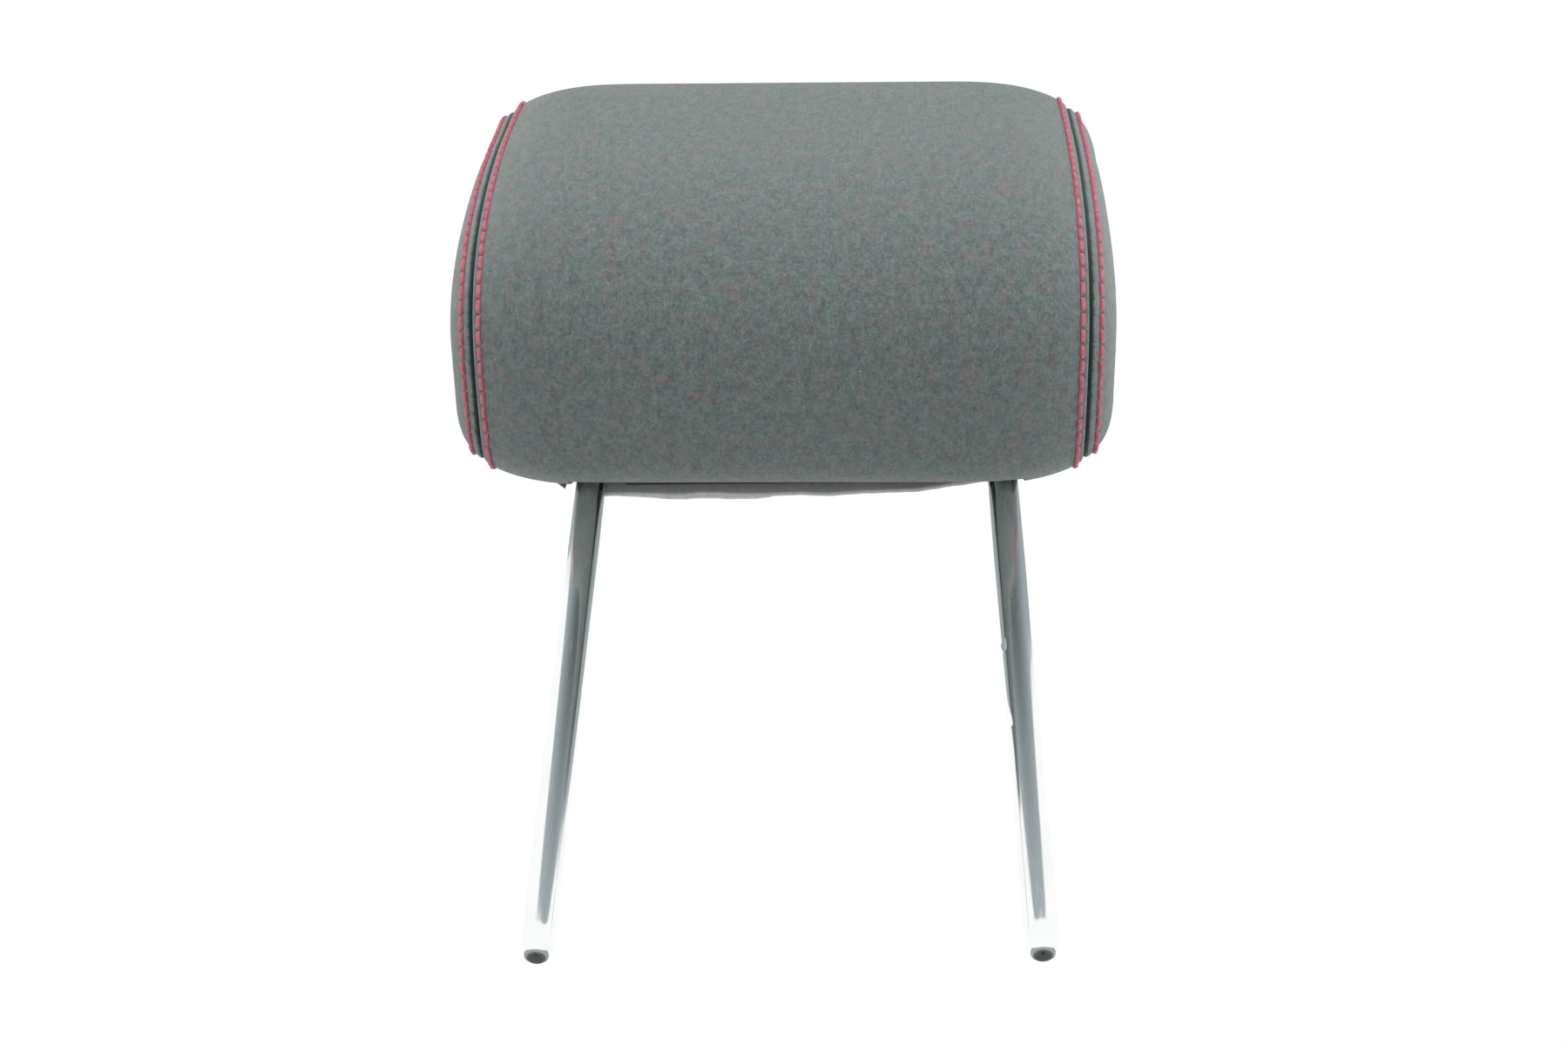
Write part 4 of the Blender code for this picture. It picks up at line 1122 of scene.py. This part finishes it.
def edge_material(name, cover, light):
    """The cover's trimmed edge: paler, smoother cloth, faint flecks, fine knit; scaled as painted light and
    shade.
    """
    made, graph, shader = new_material(name, Roughness=0.9, Specular_IOR_Level=0.15, Sheen_Weight=0.2)
    vector = graph.node("ShaderNodeUVMap").outputs[0]
    knit = use_group(graph, knit_group, Vector=vector, Pitch=cover.knit_pitch)
    heather = use_group(graph, heather_group, Vector=vector)
    dark, bright = rgba(cover.strip_colour, 0.85 * light), rgba(cover.strip_colour, 1.05 * light)
    tone = graph.mix(heather["Flecks"], dark, bright)
    shaded = graph.mix(graph.math("MULTIPLY", knit["Gap"], 0.1), tone, rgba(cover.cloth_colour))
    graph.link(shaded, shader.inputs["Base Color"])
    bump(graph, shader, knit["Height"], 0.2, 0.0002)
    return made


def thread_material(thread):
    """Twisted sewing thread: slanted plies with a painted highlight on their crests."""
    made, graph, shader = new_material(
        "red_thread", Roughness=0.55, Specular_IOR_Level=0.35, Sheen_Weight=0.35, Sheen_Roughness=0.4,
        Sheen_Tint=(1.0, 0.75, 0.8, 1.0),
    )
    vector = graph.node("ShaderNodeUVMap").outputs[0]
    parts = graph.node("ShaderNodeSeparateXYZ", {0: vector})
    slanted = graph.math("MULTIPLY_ADD", parts.outputs[1], 0.7, parts.outputs[0])
    plies = graph.math("SINE", graph.math("MULTIPLY", slanted, 2.0 * math.pi / PLY_PITCH))
    crest = graph.ramp(plies, -1.0, 1.0)
    patchy = graph.noise(vector, 500.0)
    tone = graph.math("MULTIPLY", crest, graph.ramp(patchy, 0.3, 0.7, 0.25, 0.85))
    # Painted highlight on the plies' crests, patchy along the thread
    colour = graph.mix(tone, rgba(thread.colour, 0.75), rgba(thread.crest_colour))
    graph.link(colour, shader.inputs["Base Color"])
    bump(graph, shader, crest, 0.6, 0.0002)
    return made


def chrome_material(hoop):
    """Polished plate with fine lengthwise scratches and a little haze, and bare steel in its ends."""
    made, graph, shader = new_material("polished_chrome")
    bare = graph.node("ShaderNodeAttribute", attribute_name="mark").outputs["Fac"]
    graph.link(graph.ramp(bare, 0.0, 1.0, 1.0, 0.15), shader.inputs["Metallic"])
    vector = graph.node("ShaderNodeUVMap").outputs[0]
    scuff = use_group(graph, scuff_group, Vector=vector)
    dull = graph.math("MULTIPLY_ADD", scuff["Haze"], 0.06, hoop.chrome_roughness)
    rough = graph.math("MULTIPLY_ADD", scuff["Scratch"], 0.22, dull)
    graph.link(graph.math("MULTIPLY_ADD", bare, 0.5, rough), shader.inputs["Roughness"])
    plated = graph.mix(scuff["Haze"], rgba(hoop.chrome_colour), rgba(hoop.chrome_colour, 0.95))
    tone = graph.mix(bare, plated, rgba(hoop.bare_colour))
    graph.link(tone, shader.inputs["Base Color"])
    bump(graph, shader, scuff["Scratch"], 0.08, 0.00005)
    return made


def plastic_material(name, colour, roughness):
    """Moulded plastic with a fine grain and a slightly uneven gloss."""
    made, graph, shader = new_material(name, Specular_IOR_Level=0.45)
    vector = graph.node("ShaderNodeTexCoord").outputs["Object"]
    grain = use_group(graph, grain_group, Vector=vector)
    dull = graph.ramp(grain["Cast"], 0.3, 0.7, roughness - 0.06, roughness + 0.08)
    graph.link(dull, shader.inputs["Roughness"])
    tone = graph.mix(grain["Cast"], rgba(colour, 0.85), rgba(colour, 1.2))
    graph.link(tone, shader.inputs["Base Color"])
    bump(graph, shader, grain["Height"], 0.25, 0.0001)
    return made


def foam_material():
    """Open-cell foam: round pores in a dull grey body."""
    made, graph, shader = new_material("grey_foam", Roughness=0.95, Specular_IOR_Level=0.1)
    place = graph.node("ShaderNodeTexCoord").outputs["Object"]
    pores = graph.node("ShaderNodeTexVoronoi", {"Vector": place, "Scale": PORE_SCALE}).outputs["Distance"]
    colour = graph.mix(graph.ramp(pores, 0.1, 0.6), *map(rgba, FOAM_COLOURS))
    graph.link(colour, shader.inputs["Base Color"])
    bump(graph, shader, pores, 0.5, 0.0005)
    return made


def zinc_material():
    """Dull zinc plate on the screws, with slow patches in its gloss."""
    made, graph, shader = new_material("dull_zinc", Metallic=1.0)
    vector = graph.node("ShaderNodeTexCoord").outputs["Object"]
    patches = graph.noise(vector, 300.0, 3.0, 0.6)
    graph.link(graph.ramp(patches, 0.3, 0.7, 0.32, 0.5), shader.inputs["Roughness"])
    colour = graph.mix(patches, *map(rgba, ZINC_COLOURS))
    graph.link(colour, shader.inputs["Base Color"])
    return made


# Stage


def floor_material(studio):
    """Pale matt floor, seen only from above, that fades out around; shadow and glossy rays pass it."""
    made, graph, shader = new_material("studio_floor", Roughness=0.9, Specular_IOR_Level=0.1)
    vector = graph.node("ShaderNodeTexCoord").outputs["Object"]
    shade = graph.noise(vector, 3.0)
    colour = graph.mix(shade, rgba(studio.floor_colour, 0.98), rgba(studio.floor_colour, 1.02))
    graph.link(colour, shader.inputs["Base Color"])
    away = graph.node("ShaderNodeVectorMath", {0: vector}, operation="LENGTH").outputs["Value"]
    fading = graph.ramp(away, studio.floor_radius / 2.0, studio.floor_radius, 1.0, 0.0)
    graph.link(fading, shader.inputs["Alpha"])
    path = graph.node("ShaderNodeLightPath")
    facing = graph.node("ShaderNodeNewGeometry")
    clear = graph.node("ShaderNodeBsdfTransparent")
    through = graph.math("MAXIMUM", facing.outputs["Backfacing"], path.outputs["Is Shadow Ray"])
    through = graph.math("MAXIMUM", through, path.outputs["Is Glossy Ray"])
    both = graph.node("ShaderNodeMixShader", {0: through, 1: shader.outputs[0], 2: clear.outputs[0]})
    graph.link(both.outputs[0], made.node_tree.nodes["Material Output"].inputs["Surface"])
    return made


def make_floor(studio):
    """A wide level floor just under the posts' ends."""
    steps = np.linspace(-studio.floor_radius, studio.floor_radius, FLOOR_LINES)
    x, y = np.meshgrid(steps, steps, indexing="ij")
    points = np.stack([x, y, np.full(x.shape, -FLOOR_DROP)], axis=-1).reshape(-1, 3)
    quads = grid_quads(FLOOR_LINES, FLOOR_LINES)
    floor = new_piece("studio_floor", points, [quads], floor_material(studio))
    if floor.data.polygons[0].normal.z < 0.0:
        floor.data.flip_normals()


def card_material():
    """Dull green-grey glow, darkest in the middle and paler towards the card's rim."""
    made, graph, shader = new_material("dark_card", Roughness=1.0, Emission_Strength=1.0)
    shader.inputs["Base Color"].default_value = (0.0, 0.0, 0.0, 1.0)
    place = graph.node("ShaderNodeTexCoord").outputs["Object"]
    distance = graph.node("ShaderNodeVectorMath", {0: place}, operation="LENGTH").outputs["Value"]
    glow = graph.mix(graph.ramp(distance, *CARD_REACH), *map(rgba, CARD_COLOURS))
    graph.link(glow, shader.inputs["Emission Color"])
    return made


def make_card(name, centre, half_width, half_depth, finish):
    """A rounded level card, seen by reflections alone, so that the plating shows light and dark.

    Its rim is a superellipse: the powers of the two shares of its half sizes add up to one."""
    turn = np.linspace(0.0, 2.0 * math.pi, CARD_CORNERS, endpoint=False)
    ring = np.stack([np.cos(turn), np.sin(turn), np.zeros(len(turn))], axis=-1)
    ring /= (np.abs(ring) ** CARD_POWER).sum(axis=1, keepdims=True) ** (1.0 / CARD_POWER)
    points = np.concatenate([ring * np.array((half_width, half_depth, 1.0)), np.zeros((1, 3))])
    card = new_piece(name, points, [fan(np.arange(CARD_CORNERS), CARD_CORNERS)], finish)
    card.location = centre
    for ray in ("camera", "diffuse", "transmission", "volume_scatter", "shadow"):
        setattr(card, f"visible_{ray}", False)


def make_world(ambient):
    """White to the camera and to reflections, and a soft even light for all else."""
    world = bpy.context.scene.world = bpy.data.worlds.new("studio_world")
    world.use_nodes = True
    graph = Graph(world.node_tree)
    path = graph.node("ShaderNodeLightPath")
    seen = graph.math("MAXIMUM", path.outputs["Is Camera Ray"], path.outputs["Is Glossy Ray"])
    seen = graph.math("MAXIMUM", seen, path.outputs["Is Transmission Ray"])
    strength = graph.ramp(seen, 0.0, 1.0, ambient, 1.0)
    sky = world.node_tree.nodes["Background"]
    sky.inputs["Color"].default_value = (1.0, 1.0, 1.0, 1.0)
    graph.link(strength, sky.inputs["Strength"])


def make_lamp(name, size, power, where, aim):
    """A soft square lamp that points at a place, and that reflections don't see."""
    lamp = bpy.data.lights.new(name, "AREA")
    lamp.size = size
    lamp.energy = power
    holder = bpy.data.objects.new(name, lamp)
    bpy.context.scene.collection.objects.link(holder)
    holder.location = where
    holder.visible_glossy = False
    holder.rotation_euler = (Vector(aim) - Vector(where)).to_track_quat("-Z", "Y").to_euler()


def make_camera(studio):
    """Camera at a distance from its aim, by azimuth, elevation and roll."""
    azimuth, elevation = studio.azimuth, studio.elevation
    back = Vector((
        math.sin(azimuth) * math.cos(elevation),
        -math.cos(azimuth) * math.cos(elevation),
        math.sin(elevation),
    ))
    right = Vector((math.cos(azimuth), math.sin(azimuth), 0.0))
    up = back.cross(right)
    rolled_right = right * math.cos(studio.roll) + up * math.sin(studio.roll)
    rolled_up = up * math.cos(studio.roll) - right * math.sin(studio.roll)
    turn = Matrix((rolled_right, rolled_up, back)).transposed().to_4x4()
    made = bpy.data.cameras.new("camera")
    made.lens = studio.lens
    made.clip_start = 0.01
    holder = bpy.data.objects.new("camera", made)
    holder.matrix_world = Matrix.Translation(Vector(studio.aim) + back * studio.distance) @ turn
    bpy.context.scene.collection.objects.link(holder)
    bpy.context.scene.camera = holder


# Operators


def settings():
    """The scene's settings of this add-on."""
    return bpy.context.scene.headrest


class HeadrestSettings(bpy.types.PropertyGroup):
    """All sizes and colours of the headrest."""

    hoop: PointerProperty(type=HoopSettings)
    cover: PointerProperty(type=CoverSettings)
    thread: PointerProperty(type=ThreadSettings)
    studio: PointerProperty(type=StudioSettings)


class HEADREST_OT_stage(bpy.types.Operator):
    """Set up the camera, the floor and the light"""

    bl_idname = "headrest.stage"
    bl_label = "Stage"

    def execute(self, context):
        studio = settings().studio
        make_camera(studio)
        make_floor(studio)
        dark = card_material()
        reach = studio.low_card_reach
        make_card("high_card", studio.card_centre, studio.card_half_width, studio.card_half_depth, dark)
        low_centre = (0.0, reach - studio.low_card_front, studio.low_card_height)
        make_card("low_card", low_centre, reach, reach, dark)
        make_world(studio.ambient)
        aim = np.mean(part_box("foam_pad"), axis=0)
        for name, size, power, where in LAMPS:
            make_lamp(name, size, getattr(studio, power), where, aim)
        context.scene.view_settings.view_transform = "Standard"
        return {"FINISHED"}


class HEADREST_OT_hoop(bpy.types.Operator):
    """Make the chromed hoop"""

    bl_idname = "headrest.hoop"
    bl_label = "Hoop"

    def execute(self, context):
        hoop = settings().hoop
        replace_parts(make_hoop(hoop, chrome_material(hoop)), "post_hoop")
        return {"FINISHED"}


class HEADREST_OT_cover(bpy.types.Operator):
    """Make the cover's panels and their topstitching"""

    bl_idname = "headrest.cover"
    bl_label = "Cover"

    def execute(self, context):
        cover, thread = settings().cover, settings().thread
        puffed = simulate_puff(cover)
        cloth = cloth_material("heathered_knit", cover)
        pieces = [
            make_centre_panel(cover, thread, puffed, cloth),
            make_end_panel("left_panel", -1.0, cover, thread, puffed, cloth),
            make_end_panel("right_panel", 1.0, cover, thread, puffed, cloth),
        ]
        for piece, node in zip(pieces, PAD_PANELS):
            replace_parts(piece, node)
        red = thread_material(thread)
        for side, hand in ((-1.0, "left"), (1.0, "right")):
            for across, line in ((thread.inner_row, "inner"), (thread.outer_row, "outer")):
                name = f"{hand}_{line}_stitches"
                row = make_stitch_row(name, side, across, cover, thread, puffed, red)
                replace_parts(row, f"stitch_{hand}_{line}")
        return {"FINISHED"}


class HEADREST_OT_closing(bpy.types.Operator):
    """Make the folded cloth of the closing strip"""

    bl_idname = "headrest.closing"
    bl_label = "Closing strip"

    def execute(self, context):
        cover = settings().cover
        # Painted light on the tuck and painted shade on the hem: lit and shaded copies of one edge cloth
        pale = edge_material("pale_edge", cover, LIT_EDGE)
        shaded = edge_material("shaded_edge", cover, SHADED_EDGE)
        back = -SLOT_HALF_DEPTH + FOLD_GAP
        tuck = make_fold("closing_tuck", back, TUCK_LOWS, TUCK_THICKNESS, pale)
        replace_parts(tuck, "closure_tuck")
        front = back + TUCK_THICKNESS + FOLD_GAP
        hem = make_fold("closing_hem", front, HEM_LOWS, HEM_THICKNESS, shaded)
        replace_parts(hem, "closure_hem")
        make_fold("cover_tab", front, TAB_LOWS, TAB_THICKNESS, bpy.data.materials["heathered_knit"])
        return {"FINISHED"}


class HEADREST_OT_inner(bpy.types.Operator):
    """Give the core, the foam, the screws and the hooked strips their finishes"""

    bl_idname = "headrest.inner"
    bl_label = "Inner parts"

    def execute(self, context):
        strips = plastic_material("strip_plastic", STRIP_COLOUR, STRIP_ROUGHNESS)
        finishes = {
            "core_": plastic_material("moulded_core", CORE_COLOUR, CORE_ROUGHNESS),
            "core_screw": zinc_material(),
            "foam_pad": foam_material(),
            "closure_front_strip": strips,
            "closure_rear_strip": strips,
        }
        for name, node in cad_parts.items():
            for start, finish in finishes.items():
                if name.startswith(start):
                    node.data.materials.clear()
                    node.data.materials.append(finish)
        return {"FINISHED"}


class HEADREST_PT_panel(bpy.types.Panel):
    """Buttons and settings of the headrest"""

    bl_idname = "HEADREST_PT_panel"
    bl_label = "Headrest"
    bl_space_type = "VIEW_3D"
    bl_region_type = "UI"
    bl_category = "Headrest"

    def draw(self, context):
        for maker in MAKERS:
            self.layout.operator(maker.bl_idname)
        for group in ("hoop", "cover", "thread", "studio"):
            box = self.layout.box()
            box.label(text=group.title())
            chosen = getattr(context.scene.headrest, group)
            for key in chosen.__annotations__:
                box.prop(chosen, key)


MAKERS = (HEADREST_OT_stage, HEADREST_OT_hoop, HEADREST_OT_cover, HEADREST_OT_closing, HEADREST_OT_inner)
GROUPS = (HoopSettings, CoverSettings, ThreadSettings, StudioSettings, HeadrestSettings)
CLASSES = (*GROUPS, *MAKERS, HEADREST_PT_panel)


def register():
    """Add the classes and the scene's settings."""
    for cls in CLASSES:
        bpy.utils.register_class(cls)
    bpy.types.Scene.headrest = PointerProperty(type=HeadrestSettings)


def unregister():
    """Take the settings and the classes away."""
    del bpy.types.Scene.headrest
    for cls in reversed(CLASSES):
        bpy.utils.unregister_class(cls)


def main():
    """Build everything."""
    register()
    bpy.ops.headrest.stage()
    bpy.ops.headrest.hoop()
    bpy.ops.headrest.cover()
    bpy.ops.headrest.closing()
    bpy.ops.headrest.inner()


if __name__ == "__main__":
    main()
